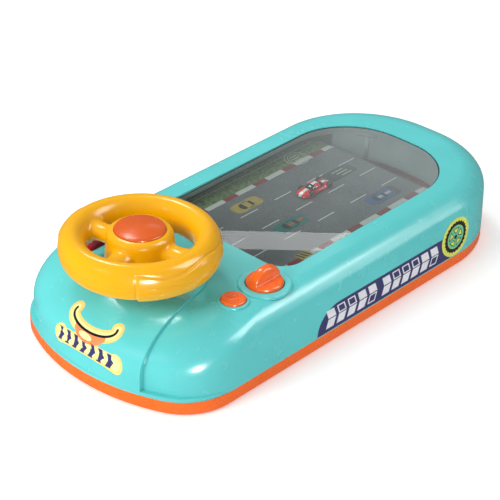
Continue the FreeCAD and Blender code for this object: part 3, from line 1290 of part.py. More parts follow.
# ---------------------------------------------------------------- write every sub-part
WHEEL = wheel_form()
PIECES = {
    "upper_case": upper_case,
    "lower_case": lower_case,
    "window_lens": window_lens,
    "cavity_frame": cavity_frame,
    "battery_door": battery_door,
    "case_screws": case_screws,
    "small_screws": small_screws,
    "rubber_feet": rubber_feet,
    "batteries": batteries,
    "battery_contacts": battery_contacts,
    "speaker": speaker,
    "main_board": main_board,
    "control_board": control_board,
    "lever_board": lever_board,
    "ignition_switch": ignition_switch,
    "button_switch": button_switch,
    "slide_switch": slide_switch,
    "wiring": wiring,
    "left_side_plate": lambda: side_plate(-1),
    "right_side_plate": lambda: side_plate(1),
    "road_belt": road_belt,
    "road_bed": road_bed,
    "roller_bushes": roller_bushes,
    "drive_roller": drive_roller,
    "drive_shaft": drive_shaft,
    "idler_roller": idler_roller,
    "drive_gear": drive_gear,
    "gear_a": gear_a,
    "gear_b": gear_b,
    "gear_pins": gear_pins,
    "motor_rotor": motor_rotor,
    "drive_motor": drive_motor,
    "motor_cradle": motor_cradle,
    "wheel_top_shell": lambda: wheel_top_shell(WHEEL),
    "wheel_bottom_shell": lambda: wheel_bottom_shell(WHEEL),
    "wheel_screws": wheel_screws,
    "steering_shaft": steering_shaft,
    "cord_drum": cord_drum,
    "steering_bush": steering_bush,
    "steering_bridge": steering_bridge,
    "horn_switch": horn_switch,
    "horn_spring": horn_spring,
    "horn_button": horn_button,
    "steering_cord": steering_cord,
    "pulley_front_right": lambda: pulley(PULLEY_AT[0]),
    "pulley_front_left": lambda: pulley(PULLEY_AT[1]),
    "pulley_side_right": lambda: pulley(PULLEY_AT[2]),
    "pulley_side_left": lambda: pulley(PULLEY_AT[3]),
    "pulley_pins": pulley_pins,
    "guide_rods": guide_rods,
    "car_carriage": car_carriage,
    "drive_magnet": drive_magnet,
    "player_car": player_car,
    "car_magnet": car_magnet,
    "ignition_knob": ignition_knob,
    "sound_button": sound_button,
    "speed_lever": speed_lever,
}
os.makedirs("parts", exist_ok=True)
for piece_name, make in PIECES.items():
    save(piece_name, make())
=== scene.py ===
"""Looks of the tabletop racing game: materials, soft-edged shells, printed graphics, light and camera.

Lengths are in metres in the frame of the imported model. MM turns millimetres into metres.
"""
import json
import math

import bmesh
import bpy
from mathutils import Matrix, Vector
from mathutils.bvhtree import BVHTree
from mathutils.geometry import delaunay_2d_cdt


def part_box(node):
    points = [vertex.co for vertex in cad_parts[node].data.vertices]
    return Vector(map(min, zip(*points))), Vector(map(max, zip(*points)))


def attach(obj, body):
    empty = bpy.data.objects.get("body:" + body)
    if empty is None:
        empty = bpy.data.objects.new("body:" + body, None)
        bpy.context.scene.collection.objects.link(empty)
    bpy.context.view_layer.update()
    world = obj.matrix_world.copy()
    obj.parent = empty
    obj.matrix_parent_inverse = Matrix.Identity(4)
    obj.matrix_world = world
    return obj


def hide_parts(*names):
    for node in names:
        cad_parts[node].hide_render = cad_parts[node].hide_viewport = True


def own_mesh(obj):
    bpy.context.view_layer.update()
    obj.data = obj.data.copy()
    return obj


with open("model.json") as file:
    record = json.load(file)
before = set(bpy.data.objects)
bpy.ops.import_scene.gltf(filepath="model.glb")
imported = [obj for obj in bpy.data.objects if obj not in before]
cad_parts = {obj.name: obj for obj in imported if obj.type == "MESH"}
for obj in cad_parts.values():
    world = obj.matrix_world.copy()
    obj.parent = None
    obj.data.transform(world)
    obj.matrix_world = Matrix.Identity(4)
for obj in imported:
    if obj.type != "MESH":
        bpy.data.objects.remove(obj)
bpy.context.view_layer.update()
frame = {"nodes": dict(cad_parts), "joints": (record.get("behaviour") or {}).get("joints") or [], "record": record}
NODES = frame["nodes"]
MM = 0.001

# ---------------------------------------------------------------- colours (linear)
TEAL = (0.112, 0.60, 0.60)
ORANGE = (1.0, 0.155, 0.010)
DEEP_ORANGE = (1.0, 0.15, 0.010)
YELLOW = (0.86, 0.42, 0.002)
# Painted shade: the horn button's orange is a darker copy of the control orange, standing in for shade on its
# dome.
SHADED_HORN_ORANGE = (0.70, 0.105, 0.008)
CRIMSON = (0.55, 0.008, 0.022)
CAR_RED = (0.72, 0.006, 0.012)
CAVITY = (0.30, 0.40, 0.385)
NAVY = (0.035, 0.035, 0.16)
ASPHALT = (0.105, 0.108, 0.112)
GRASS = (0.105, 0.16, 0.06)
KERB_RED = (0.22, 0.018, 0.018)
KERB_WHITE = (0.50, 0.49, 0.46)
LINE_WHITE = (0.62, 0.62, 0.60)


# ---------------------------------------------------------------- material helpers
class Shader:
    """A material's node tree with short calls for the nodes that the materials share."""

    def __init__(self, name):
        self.material = bpy.data.materials.new(name)
        self.material.use_nodes = True
        self.tree = self.material.node_tree
        self.surface = self.tree.nodes["Principled BSDF"]
        self.place = self.add("ShaderNodeTexCoord").outputs["Object"]

    def add(self, kind, **settings):
        node = self.tree.nodes.new(kind)
        for key, value in settings.items():
            setattr(node, key, value)
        return node

    def link(self, source, target):
        self.tree.links.new(source, target)

    def feed(self, target, value):
        """Connects an output, or writes a plain value."""
        if isinstance(value, bpy.types.NodeSocket):
            self.link(value, target)
        elif isinstance(value, tuple) and len(value) == 3 and target.type == "RGBA":
            target.default_value = (*value, 1.0)
        else:
            target.default_value = value

    def math(self, operation, first, second=0.0, third=None):
        node = self.add("ShaderNodeMath", operation=operation)
        self.feed(node.inputs[0], first)
        self.feed(node.inputs[1], second)
        if third is not None:
            self.feed(node.inputs[2], third)
        return node.outputs[0]

    def noise(self, size, detail=2.0, stretch=None):
        """Noise between 0 and 1 whose spots are about size metres."""
        node = self.add("ShaderNodeTexNoise")
        node.inputs["Scale"].default_value = 1.0 / size
        node.inputs["Detail"].default_value = detail
        place = self.place
        if stretch:
            mapping = self.add("ShaderNodeMapping")
            mapping.inputs["Scale"].default_value = stretch
            self.link(self.place, mapping.inputs["Vector"])
            place = mapping.outputs["Vector"]
        self.link(place, node.inputs["Vector"])
        return node.outputs["Fac"]

    def ramp(self, value, low, high, out_low=0.0, out_high=1.0):
        """Straight mapping from low..high onto out_low..out_high, clamped."""
        node = self.add("ShaderNodeMapRange")
        self.feed(node.inputs["Value"], value)
        limits = {"From Min": low, "From Max": high, "To Min": out_low, "To Max": out_high}
        for name, number in limits.items():
            node.inputs[name].default_value = number
        return node.outputs["Result"]

    def mix(self, share, first, second):
        """Colour between first (share 0) and second (share 1)."""
        node = self.add("ShaderNodeMix", data_type="RGBA")
        self.feed(node.inputs["Factor"], share)
        self.feed(node.inputs["A"], first)
        self.feed(node.inputs["B"], second)
        return node.outputs["Result"]

    def bump(self, height, depth, strength=1.0):
        """Feeds a bump of the given depth in metres to the surface."""
        node = self.add("ShaderNodeBump")
        node.inputs["Strength"].default_value = strength
        node.inputs["Distance"].default_value = depth
        self.feed(node.inputs["Height"], height)
        self.link(node.outputs["Normal"], self.surface.inputs["Normal"])

    def axes(self):
        node = self.add("ShaderNodeSeparateXYZ")
        self.link(self.place, node.inputs[0])
        return node.outputs["X"], node.outputs["Y"], node.outputs["Z"]

    def set(self, **values):
        for key, value in values.items():
            self.feed(self.surface.inputs[key.replace("_", " ")], value)
        return self.material


def shade(colour, by):
    return tuple(min(1.0, c * by) for c in colour)


def gloss_plastic(name, colour, roughness=0.24, coat=0.15, depth=0.006):
    """Moulded glossy plastic: faint flow clouds, orange peel, and a roughness that varies with handling."""
    s = Shader(name)
    clouds = s.noise(45 * MM, 3.0)
    specks = s.noise(1.1 * MM, 2.0)
    tone = s.mix(s.ramp(clouds, 0.35, 0.65), shade(colour, 0.96), shade(colour, 1.03))
    tone = s.mix(s.ramp(specks, 0.62, 0.75, 0.0, 0.06), tone, shade(colour, 0.88))
    rough = s.ramp(s.noise(9 * MM, 4.0), 0.35, 0.68, roughness * 0.86, roughness * 1.18)
    s.bump(s.noise(7 * MM, 1.0), depth * MM)
    return s.set(Base_Color=tone, Roughness=rough, Coat_Weight=coat, Coat_Roughness=0.08)


def matte_plastic(name, colour, roughness=0.5, grain=0.35, depth=0.02):
    """Moulded matte plastic with a fine spark texture and faint dust."""
    s = Shader(name)
    texture = s.noise(grain * MM, 2.0)
    tone = s.mix(s.ramp(s.noise(18 * MM, 4.0), 0.35, 0.7), shade(colour, 0.90), shade(colour, 1.06))
    tone = s.mix(s.ramp(texture, 0.55, 0.75, 0.0, 0.25), tone, shade(colour, 1.25))
    s.bump(texture, depth * MM)
    return s.set(Base_Color=tone, Roughness=s.ramp(texture, 0.3, 0.7, roughness * 0.85, roughness * 1.15))


def metal(name, colour, roughness=0.28, stretch=(1.0, 1.0, 9.0)):
    """Drawn or turned metal with fine marks along one direction."""
    s = Shader(name)
    marks = s.noise(0.9 * MM, 5.0, stretch)
    tone = s.mix(s.ramp(marks, 0.3, 0.7), shade(colour, 0.82), shade(colour, 1.08))
    s.bump(marks, 0.01 * MM)
    rough = s.ramp(marks, 0.3, 0.7, roughness * 0.7, roughness * 1.3)
    return s.set(Base_Color=tone, Metallic=1.0, Roughness=rough)


def rubber(name, colour):
    """Matt rubber with a dusty bloom."""
    s = Shader(name)
    bloom = s.noise(6 * MM, 5.0)
    tone = s.mix(s.ramp(bloom, 0.45, 0.75, 0.0, 0.4), colour, shade(colour, 3.0))
    s.bump(s.noise(0.5 * MM, 3.0), 0.03 * MM)
    return s.set(Base_Color=tone, Roughness=s.ramp(bloom, 0.3, 0.7, 0.62, 0.85))


def circuit_board(name):
    """Green solder mask over faint copper tracks."""
    s = Shader(name)
    x, y, z = s.axes()
    lane = s.math("PINGPONG", s.math("ADD", x, s.ramp(s.noise(14 * MM), 0.4, 0.6, -4 * MM, 4 * MM)), 1.6 * MM)
    track = s.math("LESS_THAN", lane, 0.5 * MM)
    tone = s.mix(track, (0.012, 0.10, 0.035), (0.03, 0.20, 0.07))
    s.bump(track, 0.02 * MM)
    return s.set(Base_Color=tone, Roughness=0.35, Coat_Weight=0.4)


def braided_cord(name):
    """Cord with the slant of its braid."""
    s = Shader(name)
    x, y, z = s.axes()
    strand = s.math("SINE", s.math("MULTIPLY", s.math("ADD", s.math("ADD", x, y), z), math.tau / (1.1 * MM)))
    tone = s.mix(s.ramp(strand, -1, 1), (0.42, 0.40, 0.33), (0.80, 0.78, 0.70))
    s.bump(strand, 0.05 * MM)
    return s.set(Base_Color=tone, Roughness=0.8)


def cell_jacket(name):
    """Battery jacket: a dark sleeve with a bright band near one end and bare steel caps."""
    s = Shader(name)
    x, y, z = s.axes()
    reach = s.math("ABSOLUTE", x)
    cap = s.math("GREATER_THAN", reach, 24.2 * MM)
    band = s.math("GREATER_THAN", x, 14.0 * MM)
    scuff = s.ramp(s.noise(3 * MM, 5.0), 0.55, 0.75, 0.0, 0.3)
    tone = s.mix(band, (0.01, 0.02, 0.06), (0.75, 0.33, 0.05))
    tone = s.mix(s.math("MAXIMUM", cap, scuff), tone, (0.6, 0.6, 0.6))
    return s.set(Base_Color=tone, Metallic=s.ramp(cap, 0, 1, 0.35, 1.0), Roughness=0.32)


# ---------------------------------------------------------------- the record's material slots
SLOTS = {
    "case_teal": gloss_plastic("teal_gloss", TEAL),
    "base_orange": gloss_plastic("base_orange_gloss", ORANGE, 0.28),
    "cavity_grey": matte_plastic("cavity_satin", CAVITY, 0.42, 0.6, 0.01),
    "steel": metal("plated_steel", (0.62, 0.62, 0.63)),
    "foot_rubber": rubber("black_rubber", (0.012, 0.012, 0.013)),
    "battery_jacket": cell_jacket("battery_sleeve"),
    "speaker_black": matte_plastic("speaker_paint", (0.02, 0.02, 0.022), 0.45, 0.8),
    "board_green": circuit_board("solder_mask"),
    "black_plastic": matte_plastic("black_moulding", (0.018, 0.018, 0.02), 0.42),
    "wire_red": rubber("wire_sleeve", (0.30, 0.012, 0.01)),
    "chassis_grey": matte_plastic("chassis_moulding", (0.28, 0.29, 0.30), 0.48),
    "natural_plastic": matte_plastic("natural_acetal", (0.72, 0.70, 0.63), 0.36, 0.9, 0.008),
    "roller_grey": rubber("roller_skin", (0.05, 0.05, 0.052)),
    "motor_can": metal("motor_steel", (0.52, 0.52, 0.53), 0.34, (9.0, 1.0, 1.0)),
    "wheel_yellow": gloss_plastic("wheel_gloss", YELLOW, 0.22, 0.0),
    "control_orange": gloss_plastic("control_gloss", DEEP_ORANGE, 0.25),
    "cord": braided_cord("braid"),
    "magnet": metal("ferrite", (0.06, 0.06, 0.062), 0.6, (3.0, 3.0, 1.0)),
    "car_red": gloss_plastic("car_paint", CAR_RED, 0.18, 0.6, 0.004),
    "lever_red": gloss_plastic("lever_gloss", CRIMSON, 0.22),
}


def road_print(name):
    """Printed road: four lanes with dashed lines, red and white kerbs, and grass at both edges."""
    s = Shader(name)
    x, y, z = s.axes()
    reach = s.math("ABSOLUTE", x)

    def stripes(start, length, period):
        """1 where y lies in a stripe; a stripe starts at start and repeats with period."""
        shifted = s.math("SUBTRACT", y, start)
        wrapped = s.math("FLOORED_MODULO", shifted, period)
        return s.math("LESS_THAN", wrapped, length)

    def near(value, centre, half):
        return s.math("COMPARE", value, centre, half)

    coarse, fine = s.noise(22 * MM, 3.0), s.noise(0.8 * MM, 3.0)
    asphalt = s.mix(s.ramp(coarse, 0.35, 0.65), shade(ASPHALT, 0.80), shade(ASPHALT, 1.15))
    asphalt = s.mix(s.ramp(fine, 0.40, 0.70), asphalt, shade(ASPHALT, 1.7))
    grass = s.mix(s.ramp(s.noise(2.2 * MM, 5.0), 0.35, 0.65), shade(GRASS, 0.55), shade(GRASS, 1.35))
    kerb = s.mix(stripes(8 * MM, 16.4 * MM, 28 * MM), KERB_RED, KERB_WHITE)
    kerb = s.mix(s.ramp(fine, 0.4, 0.7, 0.0, 0.25), kerb, (0.08, 0.07, 0.065))
    dash_edge = s.math("MAXIMUM", near(reach, 18.5 * MM, 0.35 * MM), s.math("LESS_THAN", reach, 0.35 * MM))
    dash = s.math("MULTIPLY", dash_edge, stripes(20 * MM, 15.6 * MM, 31.5 * MM))
    tone = s.mix(s.math("MULTIPLY", dash, 0.9), asphalt, LINE_WHITE)
    tone = s.mix(s.math("GREATER_THAN", reach, 38.5 * MM), tone, kerb)
    tone = s.mix(s.math("GREATER_THAN", reach, 42.6 * MM), tone, grass)
    s.bump(fine, 0.01 * MM)
    return s.set(Base_Color=tone, Roughness=0.55)


def window_pane(name):
    """Clear pane with a slight green-grey tint: the face reflects, and a painted reflection, a pale milky glow,
    grows towards the far end.
    """
    s = Shader(name)
    clear = s.add("ShaderNodeBsdfTransparent")
    clear.inputs["Color"].default_value = (0.90, 0.93, 0.925, 1.0)
    shine = s.add("ShaderNodeBsdfGlossy")
    s.feed(shine.inputs["Roughness"], s.ramp(s.noise(12 * MM, 4.0), 0.4, 0.7, 0.0, 0.02))
    fresnel = s.add("ShaderNodeFresnel")
    fresnel.inputs["IOR"].default_value = 1.5
    outside = s.math("SUBTRACT", 1.0, s.add("ShaderNodeNewGeometry").outputs["Backfacing"])
    both = s.add("ShaderNodeMixShader")
    s.link(s.math("MULTIPLY", s.math("MULTIPLY", fresnel.outputs[0], outside), 0.6), both.inputs[0])
    s.link(clear.outputs[0], both.inputs[1])
    s.link(shine.outputs[0], both.inputs[2])
    # Painted reflection: a pale diffuse share, rising towards the far end and patchy with noise, stands in for
    # light reflected off the pane.
    painted_reflection = s.add("ShaderNodeBsdfDiffuse")
    painted_reflection.inputs["Color"].default_value = (0.80, 0.88, 0.89, 1.0)
    x, y, z = s.axes()
    reflection_patches = s.ramp(s.noise(60 * MM, 3.0), 0.3, 0.7, 0.85, 1.15)
    share = s.math("MULTIPLY", s.ramp(y, -50 * MM, 140 * MM, 0.0, 0.20), reflection_patches)
    with_painted_reflection = s.add("ShaderNodeMixShader")
    s.link(s.math("MULTIPLY", share, outside), with_painted_reflection.inputs[0])
    s.link(both.outputs[0], with_painted_reflection.inputs[1])
    s.link(painted_reflection.outputs[0], with_painted_reflection.inputs[2])
    s.link(with_painted_reflection.outputs[0], s.tree.nodes["Material Output"].inputs["Surface"])
    return s.material


SLOTS["road_print"] = road_print("road_print")
SLOTS["window_clear"] = window_pane("window_pane")


def paint_nodes():
    """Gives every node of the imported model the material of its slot."""
    for entry in frame["record"]["subparts"]:
        mesh = NODES[entry["node"]].data
        mesh.materials.clear()
        mesh.materials.append(SLOTS[entry["material_slot"]])


paint_nodes()
# Painted shade: the horn button gets a darker orange than the knob and button, standing in for shade on its dome.
NODES["horn_button"].data.materials[0] = gloss_plastic("horn_painted_shade_gloss", SHADED_HORN_ORANGE)


# ---------------------------------------------------------------- mesh helpers
def link_piece(name, mesh, body, slot, replaced=(), materials=()):
    """Puts a mesh into the scene, riding on a body, with smooth shading."""
    piece = bpy.data.objects.new(name, mesh)
    bpy.context.scene.collection.objects.link(piece)
    for material in materials or (SLOTS[slot],):
        mesh.materials.append(material)
    mesh.shade_smooth()
    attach(piece, body)
    if replaced:
        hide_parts(*replaced)
    return piece


def applied(mesh, *modifiers):
    """New mesh: the given one with modifiers applied. Each modifier is (kind, settings)."""
    carrier = bpy.data.objects.new("carrier", mesh)
    bpy.context.scene.collection.objects.link(carrier)
    for kind, settings in modifiers:
        modifier = carrier.modifiers.new(kind, kind)
        for key, value in settings.items():
            setattr(modifier, key, value)
    graph = bpy.context.evaluated_depsgraph_get()
    result = bpy.data.meshes.new_from_object(carrier.evaluated_get(graph))
    bpy.data.objects.remove(carrier)
    return result


def mesh_of(bm, name):
    """Mesh data from a bmesh, which is freed."""
    bmesh.ops.recalc_face_normals(bm, faces=bm.faces)
    mesh = bpy.data.meshes.new(name)
    bm.to_mesh(mesh)
    bm.free()
    return mesh


def loft(bm, rings, closed_ends=True):
    """Skin between rings of equally many points, each ring closed, with fans over both ends."""
    loops = [[bm.verts.new(p) for p in ring] for ring in rings]
    count = len(loops[0])
    for low, high in zip(loops, loops[1:]):
        for i in range(count):
            j = (i + 1) % count
            bm.faces.new((low[i], low[j], high[j], high[i]))
    if closed_ends:
        bm.faces.new(reversed(loops[0]))
        bm.faces.new(loops[-1])


def lathe(bm, profile, centre, steps=96):
    """Closed solid turned round the upright axis through centre; profile is (radius, height) pairs."""
    loops = []
    for radius, height in profile[1:-1]:
        loops.append([(centre[0] + radius * math.cos(math.tau * i / steps),
                       centre[1] + radius * math.sin(math.tau * i / steps), height) for i in range(steps)])
    rings = [[bm.verts.new(p) for p in loop] for loop in loops]
    for low, high in zip(rings, rings[1:]):
        for i in range(steps):
            j = (i + 1) % steps
            bm.faces.new((low[i], low[j], high[j], high[i]))
    for end, ring in ((profile[0], rings[0]), (profile[-1], rings[-1])):
        tip = bm.verts.new((centre[0], centre[1], end[1]))
        for i in range(steps):
            bm.faces.new((tip, ring[i], ring[(i + 1) % steps]))


def smoothstep(low, high, value):
    share = min(1.0, max(0.0, (value - low) / (high - low)))
    return share * share * (3 - 2 * share)


def open_hole(bm, centre, radius, upward):
    """Opens a round hole in the skin that faces up or down, and rounds its rim off exactly."""
    side = 1 if upward else -1

    def away(vert):
        return math.hypot(vert.co.x - centre[0], vert.co.y - centre[1])

    inside = {f for f in bm.faces if side * f.normal.z > 0.3 and all(away(v) < radius for v in f.verts)}
    rim = {v for f in inside for e in f.edges for v in e.verts
           if any(g not in inside for g in e.link_faces)}
    bmesh.ops.delete(bm, geom=list(inside), context="FACES")
    for vert in rim:
        if vert.is_valid:
            reach = away(vert) or radius
            vert.co.x = centre[0] + (vert.co.x - centre[0]) * radius / reach
            vert.co.y = centre[1] + (vert.co.y - centre[1]) * radius / reach


# ---------------------------------------------------------------- steering wheel
JOINTS = {joint["name"]: joint for joint in frame["joints"]}
WHEEL = Vector(JOINTS["steering"]["pos_m"])
WHEEL_REST = math.radians(14.0)
RIM_R, RIM_WIDE, RIM_TALL = 39.0 * MM, 8.2 * MM, 11.0 * MM
SPOKES = [WHEEL_REST + math.radians(a) for a in (0.0, 180.0, 270.0)]
SPOKE_R = (13.0 * MM, 37.0 * MM)
HORN_HOLE = 15.25 * MM
SKIN = 2.0 * MM


def rim_form(bm):
    """Rim with an oval section."""
    steps, sides = 200, 48
    verts = []
    for i in range(steps):
        turn = math.tau * i / steps
        loop = []
        for j in range(sides):
            lean = math.tau * j / sides
            r = RIM_R + RIM_WIDE * math.cos(lean)
            loop.append(bm.verts.new((WHEEL.x + r * math.cos(turn), WHEEL.y + r * math.sin(turn),
                                      WHEEL.z + RIM_TALL * math.sin(lean))))
        verts.append(loop)
    for i in range(steps):
        for j in range(sides):
            k, m = (i + 1) % steps, (j + 1) % sides
            bm.faces.new((verts[i][j], verts[k][j], verts[k][m], verts[i][m]))


def hub_form(bm):
    """Tapered hub with a well-rounded top edge and a softened foot."""
    low, high = WHEEL.z - 13.5 * MM, WHEEL.z + 10.8 * MM
    foot_r, top_r, round_r = 21.3 * MM, 19.4 * MM, 4.0 * MM
    profile = [(0, low), (foot_r - 2 * MM, low), (foot_r, low + 2 * MM)]
    for i in range(9):
        turn = math.radians(10 * i + 5)
        profile.append((top_r + round_r * (math.cos(turn) - 1), high + round_r * (math.sin(turn) - 1)))
    profile.append((0, high))
    lathe(bm, profile, WHEEL, 128)


def spoke_form(bm, turn):
    """Oval spoke that flares into the hub and into the rim."""
    along = Vector((math.cos(turn), math.sin(turn), 0))
    across = Vector((-math.sin(turn), math.cos(turn), 0))
    rings = []
    for i in range(13):
        share = i / 12
        r = SPOKE_R[0] + (SPOKE_R[1] - SPOKE_R[0]) * share
        flare = abs(2 * share - 1) ** 2.2
        half_wide, half_tall = (6.6 + 4.0 * flare) * MM, (5.0 + 1.6 * flare) * MM
        middle = WHEEL + along * r + Vector((0, 0, (0.6 + 1.2 * flare) * MM))
        ring = []
        for j in range(32):
            lean = math.tau * j / 32
            rise = Vector((0, 0, half_tall * math.sin(lean)))
            ring.append(middle + across * half_wide * math.cos(lean) + rise)
        rings.append(ring)
    loft(bm, rings)


def grip_rise(vert):
    """How far the two moulded grip pads stand off the rim at a point, with a groove round each pad."""
    out = Vector((vert.x - WHEEL.x, vert.y - WHEEL.y, 0))
    reach = out.length
    if reach < RIM_R - RIM_WIDE:
        return 0.0
    turn = math.degrees(math.atan2(out.y, out.x)) - 14.0
    lean = math.degrees(math.atan2((vert.z - WHEEL.z) / RIM_TALL, (reach - RIM_R) / RIM_WIDE))
    turn = (turn + 90) % 180 - 90
    across = turn + 18.0
    wave = 36 + 9 * math.sin(math.radians(across * 6.5)) + 0.12 * across
    end_gap = (42.0 - abs(across)) * 0.68
    edge = min(end_gap, (wave - lean) * 0.16, (lean + 112) * 0.16)
    raised = 0.75 * smoothstep(0.0, 0.9, edge)
    groove = 0.35 * smoothstep(0.9, 0.0, abs(edge + 0.25))
    return (raised - groove) * MM


def wheel_form():
    """Whole wheel as one closed skin with flowing joints."""
    bm = bmesh.new()
    rim_form(bm)
    hub_form(bm)
    for turn in SPOKES:
        spoke_form(bm, turn)
    mesh = applied(mesh_of(bm, "wheel_form"), ("REMESH", {"mode": "VOXEL", "voxel_size": 0.5 * MM}))
    holder = bpy.data.objects.new("holder", mesh)
    group = holder.vertex_groups.new(name="joints")
    group.add(range(len(mesh.vertices)), 0.04, "REPLACE")
    ways = [Vector((math.cos(t), math.sin(t), 0)) for t in SPOKES]
    for vert in mesh.vertices:
        offset = Vector((vert.co.x - WHEEL.x, vert.co.y - WHEEL.y, 0))
        reach = offset.length
        if not 14 * MM < reach < 40 * MM:
            continue
        beside = min(abs(offset.cross(way).z) if offset.dot(way) > 0 else 1.0 for way in ways)
        weight = smoothstep(17 * MM, 12 * MM, beside)
        weight *= smoothstep(14 * MM, 18 * MM, reach) * smoothstep(40 * MM, 35 * MM, reach)
        if weight > 0.04:
            group.add([vert.index], weight, "REPLACE")
    bpy.context.scene.collection.objects.link(holder)
    modifier = holder.modifiers.new("flow", "SMOOTH")
    modifier.factor, modifier.iterations, modifier.vertex_group = 0.5, 60, "joints"
    graph = bpy.context.evaluated_depsgraph_get()
    smooth = bpy.data.meshes.new_from_object(holder.evaluated_get(graph))
    bpy.data.objects.remove(holder)
    skin = [vert.co + vert.normal * grip_rise(vert.co) for vert in smooth.vertices]
    for vert, place in zip(smooth.vertices, skin):
        vert.co = place
    return smooth


def wheel_shell(name, form, upward, replaced):
    """Upper or lower shell of the wheel, cut at the parting plane and given its wall."""
    bm = bmesh.new()
    bm.from_mesh(form)
    side = 1 if upward else -1
    seam = WHEEL + Vector((0, 0, 0.03 * MM * side))
    bmesh.ops.bisect_plane(bm, geom=bm.verts[:] + bm.edges[:] + bm.faces[:], plane_co=seam,
                           plane_no=(0, 0, 1), clear_inner=upward, clear_outer=not upward)
    if upward:
        open_hole(bm, WHEEL, HORN_HOLE, True)
    else:
        open_hole(bm, WHEEL, 4.05 * MM, False)
        for turn in SPOKES:
            place = WHEEL + Vector((math.cos(turn), math.sin(turn), 0)) * 24.5 * MM
            open_hole(bm, place, 2.9 * MM, False)
    mesh = bpy.data.meshes.new(name)
    bm.to_mesh(mesh)
    bm.free()
    shell = applied(mesh, ("SOLIDIFY", {"thickness": SKIN, "offset": -1.0}))
    for vert in shell.vertices:
        reach = math.hypot(vert.co.x - WHEEL.x, vert.co.y - WHEEL.y)
        if upward and vert.co.z > WHEEL.z + 7 * MM and 0 < reach < HORN_HOLE:
            vert.co.x = WHEEL.x + (vert.co.x - WHEEL.x) * HORN_HOLE / reach
            vert.co.y = WHEEL.y + (vert.co.y - WHEEL.y) * HORN_HOLE / reach
    return link_piece(name, shell, "wheel", "wheel_yellow", (replaced,))


def steering_wheel():
    """Upper and lower shell of the wheel, cut from one form."""
    form = wheel_form()
    wheel_shell("wheel_upper_shell", form, True, "wheel_top_shell")
    wheel_shell("wheel_lower_shell", form, False, "wheel_bottom_shell")


steering_wheel()


# ---------------------------------------------------------------- printed graphics
def ink(name, colour, roughness=0.36, coat=0.3):
    """Printed vinyl: solid ink with faint mottling and a soft sheen."""
    s = Shader(name)
    tone = s.mix(s.ramp(s.noise(5 * MM, 4.0), 0.35, 0.70), shade(colour, 0.92), shade(colour, 1.05))
    s.bump(s.noise(1.6 * MM, 2.0), 0.004 * MM)
    rough = s.ramp(s.noise(3 * MM), 0.3, 0.7, roughness * 0.8, roughness * 1.2)
    return s.set(Base_Color=tone, Roughness=rough, Coat_Weight=coat)


INKS = {
    "navy": ink("navy_ink", NAVY),
    "white": ink("white_ink", (0.80, 0.81, 0.86)),
    "black": ink("black_ink", (0.006, 0.006, 0.007)),
    "lime": ink("lime_ink", (0.74, 0.80, 0.10)),
    "green": ink("green_ink", (0.13, 0.60, 0.33)),
    "amber": ink("amber_ink", (1.0, 0.70, 0.19)),
    "cream": ink("cream_ink", (1.0, 0.90, 0.36)),
    "coral": ink("coral_ink", (1.0, 0.27, 0.09)),
    "road_yellow": ink("road_yellow_ink", (0.36, 0.27, 0.06), 0.6, 0.0),
    "road_teal": ink("road_teal_ink", (0.02, 0.15, 0.14), 0.6, 0.0),
    "road_blue": ink("road_blue_ink", (0.05, 0.10, 0.22), 0.6, 0.0),
    "road_dark": ink("road_dark_ink", (0.03, 0.03, 0.034), 0.6, 0.0),
    "road_shadow": ink("road_shadow_ink", (0.062, 0.062, 0.066), 0.6, 0.0),
    "road_tan": ink("road_tan_ink", (0.30, 0.12, 0.035), 0.6, 0.0),
    "road_pale": ink("road_pale_ink", (0.36, 0.37, 0.31), 0.6, 0.0),
}


def arc(x, y, rx, ry, start=0.0, end=360.0, steps=48):
    """Points along an ellipse arc, angles in degrees; a whole turn leaves out its repeated end."""
    last = steps if abs(end - start) > 359.9 else steps - 1
    turns = [math.radians(start + (end - start) * i / last) for i in range(steps)]
    return [(x + rx * math.cos(t), y + ry * math.sin(t)) for t in turns]


def rounded_box(x, y, radius):
    """Rectangle over the spans x and y with rounded corners."""
    corners = ((x[1], y[1], 0), (x[0], y[1], 90), (x[0], y[0], 180), (x[1], y[0], 270))
    loop = []
    for cx, cy, start in corners:
        cx += radius if cx == x[0] else -radius
        cy += radius if cy == y[0] else -radius
        loop += arc(cx, cy, radius, radius, start, start + 90, 8)
    return loop


def stroke(path, half):
    """Outline of a line drawn along path with round ends."""
    def side(points):
        out = []
        for i, (x, y) in enumerate(points):
            before, after = points[max(i - 1, 0)], points[min(i + 1, len(points) - 1)]
            dx, dy = after[0] - before[0], after[1] - before[1]
            size = math.hypot(dx, dy)
            out.append((x + half * dy / size, y - half * dx / size))
        end = points[-1]
        lean = math.degrees(math.atan2(out[-1][1] - end[1], out[-1][0] - end[0]))
        return out + arc(end[0], end[1], half, half, lean, lean + 180, 12)[1:-1]
    return side(path) + side(path[::-1])


def shrunk(loop, share):
    """Loop pulled towards its middle."""
    x, y = sum(p[0] for p in loop) / len(loop), sum(p[1] for p in loop) / len(loop)
    return [(x + (p[0] - x) * share, y + (p[1] - y) * share) for p in loop]


def inside(loop, x, y):
    """Whether a point lies inside a closed loop."""
    odd = False
    for (ax, ay), (bx, by) in zip(loop, loop[1:] + loop[:1]):
        if (ay > y) != (by > y) and x < ax + (y - ay) * (bx - ax) / (by - ay):
            odd = not odd
    return odd


def skin_of(node):
    """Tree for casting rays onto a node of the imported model."""
    source = NODES[node]
    points = [source.matrix_world @ v.co for v in source.data.vertices]
    return BVHTree.FromPolygons(points, [tuple(p.vertices) for p in source.data.polygons])


